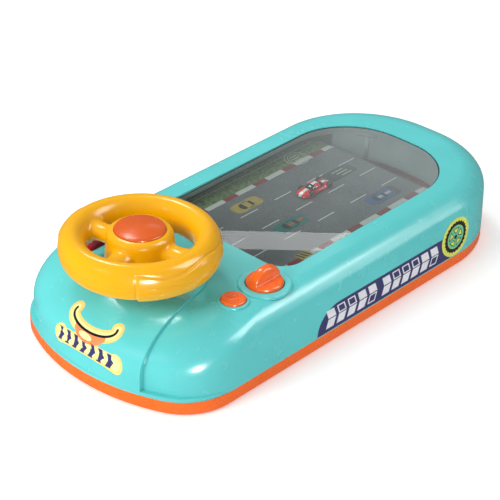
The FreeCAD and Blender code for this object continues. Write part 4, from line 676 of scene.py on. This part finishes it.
class Sheet:
    """Plane of drawing, in millimetres, whose shapes are laid onto a node's skin as thin prints."""

    def __init__(self, node, origin, across, up, body="case", slot="road_print"):
        self.skin = skin_of(node)
        self.origin = Vector(origin) * MM
        self.across, self.up = Vector(across).normalized(), Vector(up).normalized()
        self.out = self.across.cross(self.up)
        self.body, self.slot = body, slot

    def draw(self, name, colour, adds, cuts=(), lift=0.05, step=2.5):
        """Lays the area of the loops in adds, less those in cuts, onto the skin."""
        loops = list(adds) + list(cuts)
        points, edges = [], []
        for loop in loops:
            first = len(points)
            points += [Vector(p) for p in loop]
            edges += [(first + i, first + (i + 1) % len(loop)) for i in range(len(loop))]
        low = [min(p[k] for loop in adds for p in loop) for k in (0, 1)]
        high = [max(p[k] for loop in adds for p in loop) for k in (0, 1)]
        columns, rows = [int((high[k] - low[k]) / step) + 1 for k in (0, 1)]
        for i in range(columns):
            for j in range(rows):
                x, y = low[0] + (i + 0.47) * step, low[1] + (j + 0.53) * step
                if any(inside(loop, x, y) for loop in adds):
                    points.append(Vector((x, y)))
        flat, _, faces, *_ = delaunay_2d_cdt(points, edges, [], 0, 1e-4)
        bm = bmesh.new()
        verts = {}

        def vert(index):
            if index not in verts:
                spot = self.origin + (self.across * flat[index].x + self.up * flat[index].y) * MM
                hit, normal, _, _ = self.skin.ray_cast(spot + self.out * 0.06, -self.out)
                verts[index] = bm.verts.new((hit or spot) + (normal or self.out) * lift * MM)
            return verts[index]

        for face in faces:
            x = sum(flat[i].x for i in face) / 3
            y = sum(flat[i].y for i in face) / 3
            if any(inside(loop, x, y) for loop in adds) and not any(inside(loop, x, y) for loop in cuts):
                bm.faces.new([vert(i) for i in face])
        mesh = bpy.data.meshes.new(name)
        bm.to_mesh(mesh)
        bm.free()
        return link_piece(name, mesh, self.body, self.slot, (), (INKS[colour],))


def side_graphics():
    """Navy band with slanted speed blocks and a tyre badge on the right wall."""
    low, high, front = 9.8, 27.0, -45.0
    wall = Sheet("upper_case", (77, 0, 0), (0, 1, 0), (0, 0, 1), slot="case_teal")
    nose = arc(front + 20, low, 20, high - low, 180, 90, 16)
    wall.draw("speed_band", "navy", [nose + [(84, high), (84, low)]])
    solid, lines, gaps = [], [], []
    starts = [-37.5 + 9.6 * i for i in range(5)] + [14.5 + 9.5 * i for i in range(6)]
    middle, foot, head, wide = 18.4, 12.2, 24.8, 9.3
    for i, start in enumerate(starts):
        tip, notch = start + wide, start + 2.2
        upper = [(start, head), (tip - 2.4, head), (tip, middle + 0.35), (notch, middle + 0.35)]
        lower = [(start, foot), (notch, middle - 0.35), (tip, middle - 0.35), (tip - 2.4, foot)]
        for half, filled in ((upper, i in (0, 3, 4, 5, 9, 10)), (lower, i not in (4, 10))):
            if filled:
                solid.append(half)
            else:
                lines.append(half)
                gaps.append(shrunk(half, 0.72))
    wall.draw("speed_blocks", "white", solid, lift=0.09)
    wall.draw("speed_outlines", "white", lines, gaps, lift=0.09)
    x, y = 88.5, 23.4
    wall.draw("tyre_backing", "lime", [arc(x, y, 14.2, 13.6)], lift=0.10)
    tread = []
    for i in range(96):
        reach = 11.4 if i % 4 < 2 else 10.7
        tread.append((x + reach * math.cos(math.tau * i / 96), y + reach * math.sin(math.tau * i / 96)))
    wall.draw("tyre_tread", "black", [tread], [arc(x, y, 8.3, 8.3)], lift=0.13)
    wall.draw("tyre_face", "green", [arc(x, y, 8.1, 8.1)], lift=0.13)
    rims, panes = [], []
    for i in range(5):
        lean = math.radians(90 + 72 * i)
        pane = []
        for reach, spread in ((2.8, -0.30), (7.1, -0.48), (7.1, 0.48), (2.8, 0.30)):
            pane.append((x + reach * math.cos(lean + spread), y + reach * math.sin(lean + spread)))
        rims.append(pane)
        panes.append(shrunk(pane, 0.70))
    wall.draw("tyre_outlines", "black", rims + [arc(x, y, 1.5, 1.5, steps=16)], panes, lift=0.16)
    wall.draw("tyre_windows", "lime", panes, lift=0.16)


def front_graphics():
    """Road-bend badge with arrow heads on the front of the tongue."""
    front = Sheet("upper_case", (0, -158, 34), (1, 0, 0), (0, 0.64, 0.77), slot="case_teal")

    def at(turn):
        return 3.2 + 16.8 * math.sin(turn), 6.5 - 7.5 * math.cos(turn)

    def bend(reach, steps=33):
        return [at(math.radians(-reach + 2 * reach * i / (steps - 1))) for i in range(steps)]

    plate = rounded_box((-22.0, 32.3), (-14.9, -4.3), 5.2)
    front.draw("bend_backing", "amber", [stroke(bend(104), 3.9), plate], lift=0.05, step=2.0)
    inner = rounded_box((-20.4, 30.7), (-13.3, -5.9), 3.6)
    front.draw("bend_glow", "cream", [stroke(bend(102), 2.3), inner], lift=0.08, step=2.0)
    top = [at(math.radians(-44 + 4 * i)) for i in range(24)]
    crescent = top + arc(4.4, 0.4, 12.2, 7.8, -8, -172, 24)
    front.draw("bend_fill", "coral", [crescent], lift=0.11, step=2.0)
    tilted = [(2.6 + x * 0.97 + y * 0.2, -3.9 - x * 0.1 + y) for x, y in arc(0, 0, 5.4, 1.8)]
    front.draw("bend_spot", "cream", [tilted], lift=0.14, step=2.0)
    front.draw("bend_line", "black", [stroke(bend(100), 0.72)], lift=0.17, step=2.0)
    heads, low, high = [], -13.2, -6.0
    for i in range(7):
        x, middle = -18.6 + 6.55 * i, (low + high) / 2
        heads.append([(x, low), (x + 3.4, low), (x + 5.7, middle), (x + 3.4, high), (x, high),
                      (x + 1.9, middle)])
    front.draw("bend_arrows", "navy", heads, lift=0.11, step=2.0)


def printed_car(road, name, place, size, paint, glass, detail):
    """Car drawn from above on the road: body, windows and a stripe."""
    x, y = place
    half_w, half_l = size[0] / 2, size[1] / 2
    body = []
    for cx, cy in arc(0, 0, 1, 1, 0, 360, 56):
        px = math.copysign(abs(cx) ** 0.35, cx)
        py = math.copysign(abs(cy) ** 0.55, cy)
        waist = 1.0 - 0.10 * math.exp(-(py / 0.35) ** 2) - 0.10 * abs(py) ** 4
        body.append((x + half_w * px * waist, y + half_l * py))
    road.draw(name + "_body", paint, [body], lift=0.03, step=6.0)

    def placed(shares):
        return [(x + half_w * across, y + half_l * along) for across, along in shares]

    front = placed(((-0.66, -0.16), (-0.52, -0.42), (0, -0.50), (0.52, -0.42), (0.66, -0.16)))
    rear = rounded_box((x - half_w * 0.5, x + half_w * 0.5), (y + half_l * 0.22, y + half_l * 0.42), 0.8)
    sides = [placed(((s * 0.74, -0.10), (s * 0.62, -0.08), (s * 0.58, 0.26), (s * 0.70, 0.30)))
             for s in (-1, 1)]
    road.draw(name + "_glass", glass, [front, rear] + sides, lift=0.05, step=6.0)
    stripe = [rounded_box((x - 1.2, x + 1.2), (y - half_l * 0.14, y + half_l * 0.20), 0.3),
              rounded_box((x - 1.2, x + 1.2), (y + half_l * 0.44, y + half_l * 0.86), 0.3)]
    road.draw(name + "_stripe", detail, stripe, lift=0.05, step=6.0)


def road_graphics():
    """Traffic, tyre marks, a round emblem and a barrier printed on the road."""
    road = Sheet("road_belt", (0, 0, 40), (1, 0, 0), (0, 1, 0))
    printed_car(road, "taxi", (-27, 3), (11.5, 24), "road_yellow", "road_dark", "road_yellow")
    printed_car(road, "coupe", (9, 5), (11.5, 27), "road_teal", "road_dark", "road_tan")
    printed_car(road, "racer", (27, 71), (11, 24), "road_blue", "road_dark", "road_pale")
    shadow = [rounded_box((x - 6.4, x + 5.2), (y - 13.5, y + 12.5), 2.5)
              for x, y in ((-11.5, 77), (27.6, 75))]
    road.draw("shadows", "road_shadow", shadow, lift=0.015, step=6.0)
    marks = [rounded_box((-15.5 + 3.0 * i, -14.2 + 3.0 * i), (70 + 2 * i, 84 + i), 0.5) for i in range(3)]
    road.draw("tyre_marks", "road_pale", [shrunk(m, 0.8) for m in marks], lift=0.03, step=6.0)
    x, y = -45.5, 71.0
    road.draw("emblem_ring", "road_pale", [arc(x, y, 8.6, 8.6)], [arc(x, y, 7.9, 7.9)], lift=0.03, step=6.0)
    road.draw("emblem_inner", "road_pale", [arc(x, y, 6.4, 6.4)], [arc(x, y, 5.8, 5.8)], lift=0.03, step=6.0)
    bars = [rounded_box((x - 3.6 + 2.6 * i, x - 2.6 + 2.6 * i), (y - 3.6, y + 3.6), 0.4) for i in range(3)]
    road.draw("emblem_bars", "road_pale", bars, lift=0.03, step=6.0)
    road.draw("barrier", "road_yellow", [rounded_box((35.5, 42.0), (-21.0, -11.0), 0.6)], lift=0.03, step=6.0)
    slants = [[(35.8, y), (41.7, y + 1.6), (41.7, y + 2.9), (35.8, y + 1.3)] for y in (-20.4, -17.6, -14.8)]
    road.draw("barrier_slants", "road_dark", slants, lift=0.05, step=6.0)
    road.draw("grass_line", "road_pale", [[(s * 53.6, -40), (s * 54.2, -40), (s * 54.2, 96), (s * 53.6, 96)]
                                          for s in (-1, 1)], lift=0.03, step=12.0)


side_graphics()
front_graphics()
road_graphics()


# ---------------------------------------------------------------- player's car
def striped_paint(name, middle):
    """Car paint with a white stripe along the middle and fine flake."""
    s = Shader(name)
    x, y, z = s.axes()
    stripe = s.math("LESS_THAN", s.math("ABSOLUTE", s.math("SUBTRACT", x, middle)), 1.15 * MM)
    flake = s.noise(0.3 * MM, 2.0)
    red = s.mix(s.ramp(flake, 0.4, 0.7), CAR_RED, shade(CAR_RED, 1.35))
    s.bump(flake, 0.003 * MM)
    return s.set(Base_Color=s.mix(stripe, red, (0.85, 0.82, 0.80)), Roughness=0.22, Coat_Weight=0.5)


def player_car():
    """Low coupe: fendered body, dark glass house, roof skin and four tyres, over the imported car's box."""
    low, high = (Vector(c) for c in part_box("player_car"))
    middle = (low + high) / 2
    base, half_l = low.z, (high.y - low.y) / 2

    def hump(share, middle, spread):
        return math.exp(-((share - middle) / spread) ** 2)

    def half_width(share):
        bulge = 0.75 * hump(share, 0.60, 0.22) + 0.85 * hump(share, -0.56, 0.24)
        return (4.95 + bulge) * (1.0 - 0.42 * abs(share) ** 7) * MM

    def shoulder_height(share):
        fender = 0.7 * hump(share, 0.60, 0.20) + 0.6 * hump(share, -0.56, 0.24)
        return (2.75 + fender - 1.5 * max(0.0, share - 0.35) - 1.1 * abs(share) ** 10) * MM

    def section(y, wide, foot, top, square):
        ring = []
        for i in range(40):
            lean = math.tau * i / 40
            x = math.copysign(abs(math.cos(lean)) ** square, math.cos(lean)) * wide
            z = abs(math.sin(lean)) ** 0.75 * (top - foot) if math.sin(lean) > 0 else 0.0
            ring.append((middle.x + x, y, foot + z))
        return ring

    def skinned(name, rings, slot, material, replaced=()):
        bm = bmesh.new()
        loft(bm, rings)
        bmesh.ops.remove_doubles(bm, verts=bm.verts, dist=0.002 * MM)
        return link_piece(name, mesh_of(bm, name), "carriage", slot, replaced, (material,))

    shares = [math.sin(math.radians(-88 + 4.4 * i)) for i in range(41)]
    rings = [section(middle.y + s * half_l, half_width(s), base, base + shoulder_height(s), 0.55)
             for s in shares]
    paint = striped_paint("racing_paint", middle.x)
    skinned("car_body", rings, "car_red", paint, ("player_car",))

    def house(name, span, grow, slot, material):
        rings = []
        for i in range(17):
            share = span[0] + (span[1] - span[0]) * i / 16
            dome = max(0.0, 1 - abs(share) ** 2.6)
            wide = (2.3 + 1.5 * dome ** 0.6 + grow) * MM
            rings.append(section(middle.y + (share * 7.4 - 0.6) * MM, wide, base + 2.0 * MM,
                                 base + (2.4 + 2.9 * dome ** 0.8 + grow) * MM, 0.7))
        skinned(name, rings, slot, material)

    glass = gloss_plastic("car_glass", (0.006, 0.012, 0.010), 0.12, 0.8, 0.002)
    house("car_glass_house", (-0.97, 0.97), 0.0, "black_plastic", glass)
    house("car_roof", (-0.34, 0.30), 0.09, "car_red", paint)
    for side in (-1, 1):
        for share in (-0.57, 0.60):
            bm = bmesh.new()
            turn = Matrix.Rotation(math.radians(90), 4, "Y")
            place = Vector((middle.x + side * 4.55 * MM, middle.y + share * half_l, base + 2.0 * MM))
            bmesh.ops.create_cone(bm, cap_ends=True, segments=32, radius1=2.15 * MM, radius2=2.15 * MM,
                                  depth=2.0 * MM, matrix=Matrix.Translation(place) @ turn)
            bmesh.ops.bevel(bm, geom=[e for e in bm.edges if e.calc_face_angle(0) > 1], offset=0.35 * MM,
                            segments=3, affect="EDGES")
            label = "car_tyre_%s_%s" % ("right" if side > 0 else "left", "front" if share > 0 else "rear")
            link_piece(label, mesh_of(bm, label), "carriage", "black_plastic")


player_car()


# ---------------------------------------------------------------- control details
def ignition_knob():
    """Turning knob: fin that flows into its disc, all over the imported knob's box."""
    low, high = (Vector(c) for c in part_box("ignition_knob"))
    centre = (low + high) / 2
    deck = high.z - 8.5 * MM
    bm = bmesh.new()
    keeper, radius = 13.0 * MM, 11.3 * MM
    foot = deck - 5.9 * MM
    stem, under, bevel = 3.0 * MM, deck - 6.6 * MM, 1.2 * MM
    profile = [(0, low.z), (stem, low.z), (stem, under), (keeper, under), (keeper, foot),
               (radius, foot), (radius, deck - bevel), (radius - bevel, deck), (0, deck)]
    lathe(bm, profile, centre, 96)
    rings = []
    for i in range(33):
        along = -1 + 2 * i / 32
        tall = math.sqrt(max(0.0, 1 - along * along))
        y = centre.y + along * 10.6 * MM
        top = deck + tall * (high.z - deck)
        ring = []
        for j in range(28):
            lean = math.tau * j / 28
            x = math.copysign(abs(math.cos(lean)) ** 0.5, math.cos(lean)) * (2.9 + 0.5 * tall) * MM
            z = deck - 1.0 * MM + (top - deck + 1.0 * MM) * (0.5 + 0.5 * math.sin(lean))
            ring.append((centre.x + x, y, z))
        rings.append(ring)
    loft(bm, rings)
    form = applied(mesh_of(bm, "knob_form"), ("REMESH", {"mode": "VOXEL", "voxel_size": 0.4 * MM}),
                   ("SMOOTH", {"factor": 0.5, "iterations": 22}))
    link_piece("knob_grip", form, "ignition", "control_orange", ("ignition_knob",))


def button_wave():
    """Two raised waves moulded on the sound button."""
    low, high = (Vector(c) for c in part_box("sound_button"))
    centre = (low + high) / 2
    bm = bmesh.new()
    for shift in (-1.5, 1.5):
        rings = []
        for i in range(25):
            share = -1 + 2 * i / 24
            x, y = share * 4.0, shift + 1.1 * math.sin(share * math.pi)
            size = 0.62 * math.sqrt(max(0.04, 1 - share ** 6))
            spot = (x * 0.8 - y * 0.6, x * 0.6 + y * 0.8)
            slope = 0.87 * math.cos(share * math.pi)
            across = Vector((-slope * 0.8 - 0.6, -slope * 0.6 + 0.8, 0)).normalized()
            middle = Vector((centre.x + spot[0] * MM, centre.y + spot[1] * MM, high.z + 0.05 * MM))
            turns = [math.tau * j / 12 for j in range(12)]
            rings.append([middle + (across * math.cos(t) + Vector((0, 0, 1)) * math.sin(t)) * size * MM
                          for t in turns])
        loft(bm, rings)
    link_piece("button_waves", mesh_of(bm, "button_waves"), "sound", "control_orange")


def cavity_rib():
    """T-shaped rib on the back wall over the road."""
    skin = skin_of("cavity_frame")
    bm = bmesh.new()
    stem, bar = ((-31.2, -28.8), (25.0, 42.0)), ((-36.0, -24.0), (42.0, 43.6))
    for x, z in (stem, bar):
        rings = []
        for share in (0.0, 0.25, 0.5, 0.75, 1.0):
            at = x[0] + (x[1] - x[0]) * share
            hit = skin.ray_cast(Vector((at * MM, 0.105, sum(z) / 2 * MM)), Vector((0, 1, 0)))[0]
            wall = hit.y if hit else 0.13
            near, far = wall - 1.0 * MM, wall + 0.3 * MM
            corners = ((far, z[0]), (near, z[0]), (near, z[1]), (far, z[1]))
            rings.append([(at * MM, y, height * MM) for y, height in corners])
        loft(bm, rings)
    link_piece("cavity_rib", mesh_of(bm, "cavity_rib"), "case", "cavity_grey")


def horn_coil():
    """Return spring under the horn button, carried with the wheel."""
    source = NODES["horn_spring"]
    mesh = source.data.copy()
    mesh.transform(source.matrix_world)
    piece = link_piece("horn_coil", mesh, "wheel", "steel", ("horn_spring",))
    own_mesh(piece)


def window_gasket():
    """Thin dark line round the edge of the window."""
    bm = bmesh.new()
    bm.from_mesh(NODES["window_lens"].data)
    bm.transform(NODES["window_lens"].matrix_world)
    bmesh.ops.delete(bm, geom=[f for f in bm.faces if f.normal.z < 0.9], context="FACES")
    hidden = bmesh.ops.inset_region(bm, faces=bm.faces[:], thickness=2.5 * MM, use_boundary=True)["faces"]
    bmesh.ops.delete(bm, geom=hidden, context="FACES")
    rim = set(bmesh.ops.inset_region(bm, faces=bm.faces[:], thickness=0.9 * MM, use_boundary=True)["faces"])
    bmesh.ops.delete(bm, geom=[f for f in bm.faces if f not in rim], context="FACES")
    for vert in bm.verts:
        vert.co.z += 0.03 * MM
    link_piece("window_gasket", mesh_of(bm, "window_gasket"), "case", "black_plastic")


ignition_knob()
button_wave()
cavity_rib()
horn_coil()
window_gasket()


# ---------------------------------------------------------------- floor, light and camera
EYE = Vector((0.5767, -0.6530, 0.5515))
LOOK_BACK = Vector((0.5753, -0.6292, 0.5226))
CAMERA_ROLL = math.radians(1.61)
LENS_MM = 116.0
SENSOR_MM = 36.0
WINDOW_BAND = ((-9.6, -44.0), (52.6, 11.9), (58.3, -10.6), (9.3, -54.8))
CARD_HEIGHT = 0.75
CARD_GLOW = 4.6
BRIGHT_SIDE = Vector((-0.30, -0.80, 0.50))
SURROUND_DARK, SURROUND_BRIGHT, SURROUND_MIRRORED = 0.26, 1.05, 0.20
MIDDLE = (0, 0, 0)
FRONT_DOME = (0.067, -0.138, 0.03)


def pale_floor():
    """Pale floor just under the feet, see-through from below."""
    size = 6.0
    mesh = bpy.data.meshes.new("floor")
    level = -0.1 * MM
    corners = [(-size, -size, level), (size, -size, level), (size, size, level), (-size, size, level)]
    mesh.from_pydata(corners, [], [(0, 1, 2, 3)])
    floor = bpy.data.objects.new("floor", mesh)
    bpy.context.scene.collection.objects.link(floor)
    s = Shader("floor_paper")
    s.set(Base_Color=(0.93, 0.93, 0.93), Roughness=0.9, Emission_Color=(1.0, 1.0, 1.0),
          Emission_Strength=0.22)
    below = s.add("ShaderNodeMixShader")
    s.link(s.add("ShaderNodeNewGeometry").outputs["Backfacing"], below.inputs[0])
    s.link(s.surface.outputs[0], below.inputs[1])
    s.link(s.add("ShaderNodeBsdfTransparent").outputs[0], below.inputs[2])
    s.link(below.outputs[0], s.tree.nodes["Material Output"].inputs["Surface"])
    mesh.materials.append(s.material)
    floor.visible_glossy = False


def surround():
    """Soft pale surround, brighter at the front and dim where a glossy face mirrors it."""
    world = bpy.data.worlds.new("surround")
    bpy.context.scene.world = world
    world.use_nodes = True
    nodes, links = world.node_tree.nodes, world.node_tree.links
    background = nodes["Background"]
    background.inputs["Color"].default_value = (1.0, 1.0, 1.0, 1.0)
    facing = nodes.new("ShaderNodeVectorMath")
    facing.operation = "DOT_PRODUCT"
    facing.inputs[1].default_value = BRIGHT_SIDE.normalized()
    links.new(nodes.new("ShaderNodeTexCoord").outputs["Generated"], facing.inputs[0])
    fall = nodes.new("ShaderNodeMapRange")
    fall.inputs["From Min"].default_value = -1.0
    fall.inputs["To Min"].default_value = SURROUND_DARK
    fall.inputs["To Max"].default_value = SURROUND_BRIGHT
    links.new(facing.outputs["Value"], fall.inputs["Value"])
    dimmed = nodes.new("ShaderNodeMapRange")
    dimmed.inputs["To Max"].default_value = SURROUND_MIRRORED
    links.new(nodes.new("ShaderNodeLightPath").outputs["Is Glossy Ray"], dimmed.inputs["Value"])
    links.new(fall.outputs["Result"], dimmed.inputs["To Min"])
    links.new(dimmed.outputs["Result"], background.inputs["Strength"])


def area(name, place, target, size, power, diffuse=True, shine=True):
    """Rectangular lamp aimed at target; it may give only diffuse light or only highlights."""
    light = bpy.data.lights.new(name, "AREA")
    light.shape = "RECTANGLE"
    light.size, light.size_y = size
    light.energy = power
    lamp = bpy.data.objects.new(name, light)
    lamp.location = place
    lamp.rotation_mode = "QUATERNION"
    lamp.rotation_quaternion = (Vector(target) - Vector(place)).to_track_quat("-Z", "Y")
    lamp.visible_diffuse, lamp.visible_glossy = diffuse, shine
    bpy.context.scene.collection.objects.link(lamp)


def lamps():
    """Key light from the front and overhead left, and soft lamps that only make highlights."""
    area("overhead", (-0.75, 0.20, 1.20), MIDDLE, (0.30, 0.30), 4.5)
    area("front_key", (-0.20, -1.20, 0.80), MIDDLE, (0.45, 0.45), 8.0, shine=False)
    area("front_spark", (1.07, -0.79, 0.20), FRONT_DOME, (0.28, 0.22), 20.0, diffuse=False)
    area("shoulder_strip", (0.90, 0.85, 0.45), MIDDLE, (0.25, 0.80), 3.0, diffuse=False)
    area("right_softbox", (0.80, 0.55, 1.00), MIDDLE, (0.70, 0.70), 13.0, diffuse=False)


def window_card():
    """Glowing card, seen only in mirrors, whose reflection crosses the window as a slanted band."""
    skin = skin_of("window_lens")
    first, second, third = (skin.ray_cast(Vector((x, y, 0.2)), Vector((0, 0, -1)))[0]
                            for x, y in ((0.0, 0.0), (0.03, 0.0), (0.0, 0.06)))
    tilt = (second - first).cross(third - first).normalized()
    mirrored = EYE - 2 * (EYE - first).dot(tilt) * tilt
    corners = []
    for x, y in WINDOW_BAND:
        level = first.z - ((x * MM - first.x) * tilt.x + (y * MM - first.y) * tilt.y) / tilt.z
        ray = Vector((x * MM, y * MM, level)) - mirrored
        corners.append(mirrored + ray * (CARD_HEIGHT - mirrored.z) / ray.z)
    mesh = bpy.data.meshes.new("window_card")
    mesh.from_pydata(corners, [], [(0, 1, 2, 3)])
    glow = bpy.data.materials.new("window_card")
    glow.use_nodes = True
    surface = glow.node_tree.nodes["Principled BSDF"]
    surface.inputs["Emission Color"].default_value = (1.0, 1.0, 1.0, 1.0)
    surface.inputs["Emission Strength"].default_value = CARD_GLOW
    mesh.materials.append(glow)
    card = bpy.data.objects.new("window_card", mesh)
    bpy.context.scene.collection.objects.link(card)
    card.visible_camera = card.visible_diffuse = card.visible_shadow = False


def camera():
    """Camera high in front and to the right, with a long lens."""
    back = LOOK_BACK.normalized()
    level = Vector((-back.y, back.x, 0)).normalized()
    over = back.cross(level)
    right = level * math.cos(CAMERA_ROLL) + over * math.sin(CAMERA_ROLL)
    up = over * math.cos(CAMERA_ROLL) - level * math.sin(CAMERA_ROLL)
    data = bpy.data.cameras.new("camera")
    data.lens, data.sensor_width = LENS_MM, SENSOR_MM
    data.clip_start = 0.05
    view = bpy.data.objects.new("camera", data)
    bpy.context.scene.collection.objects.link(view)
    turn = Matrix((right, up, back)).transposed().to_4x4()
    view.matrix_world = Matrix.Translation(EYE) @ turn
    bpy.context.scene.camera = view


pale_floor()
surround()
lamps()
window_card()
camera()
bpy.context.scene.view_settings.view_transform = "Standard"
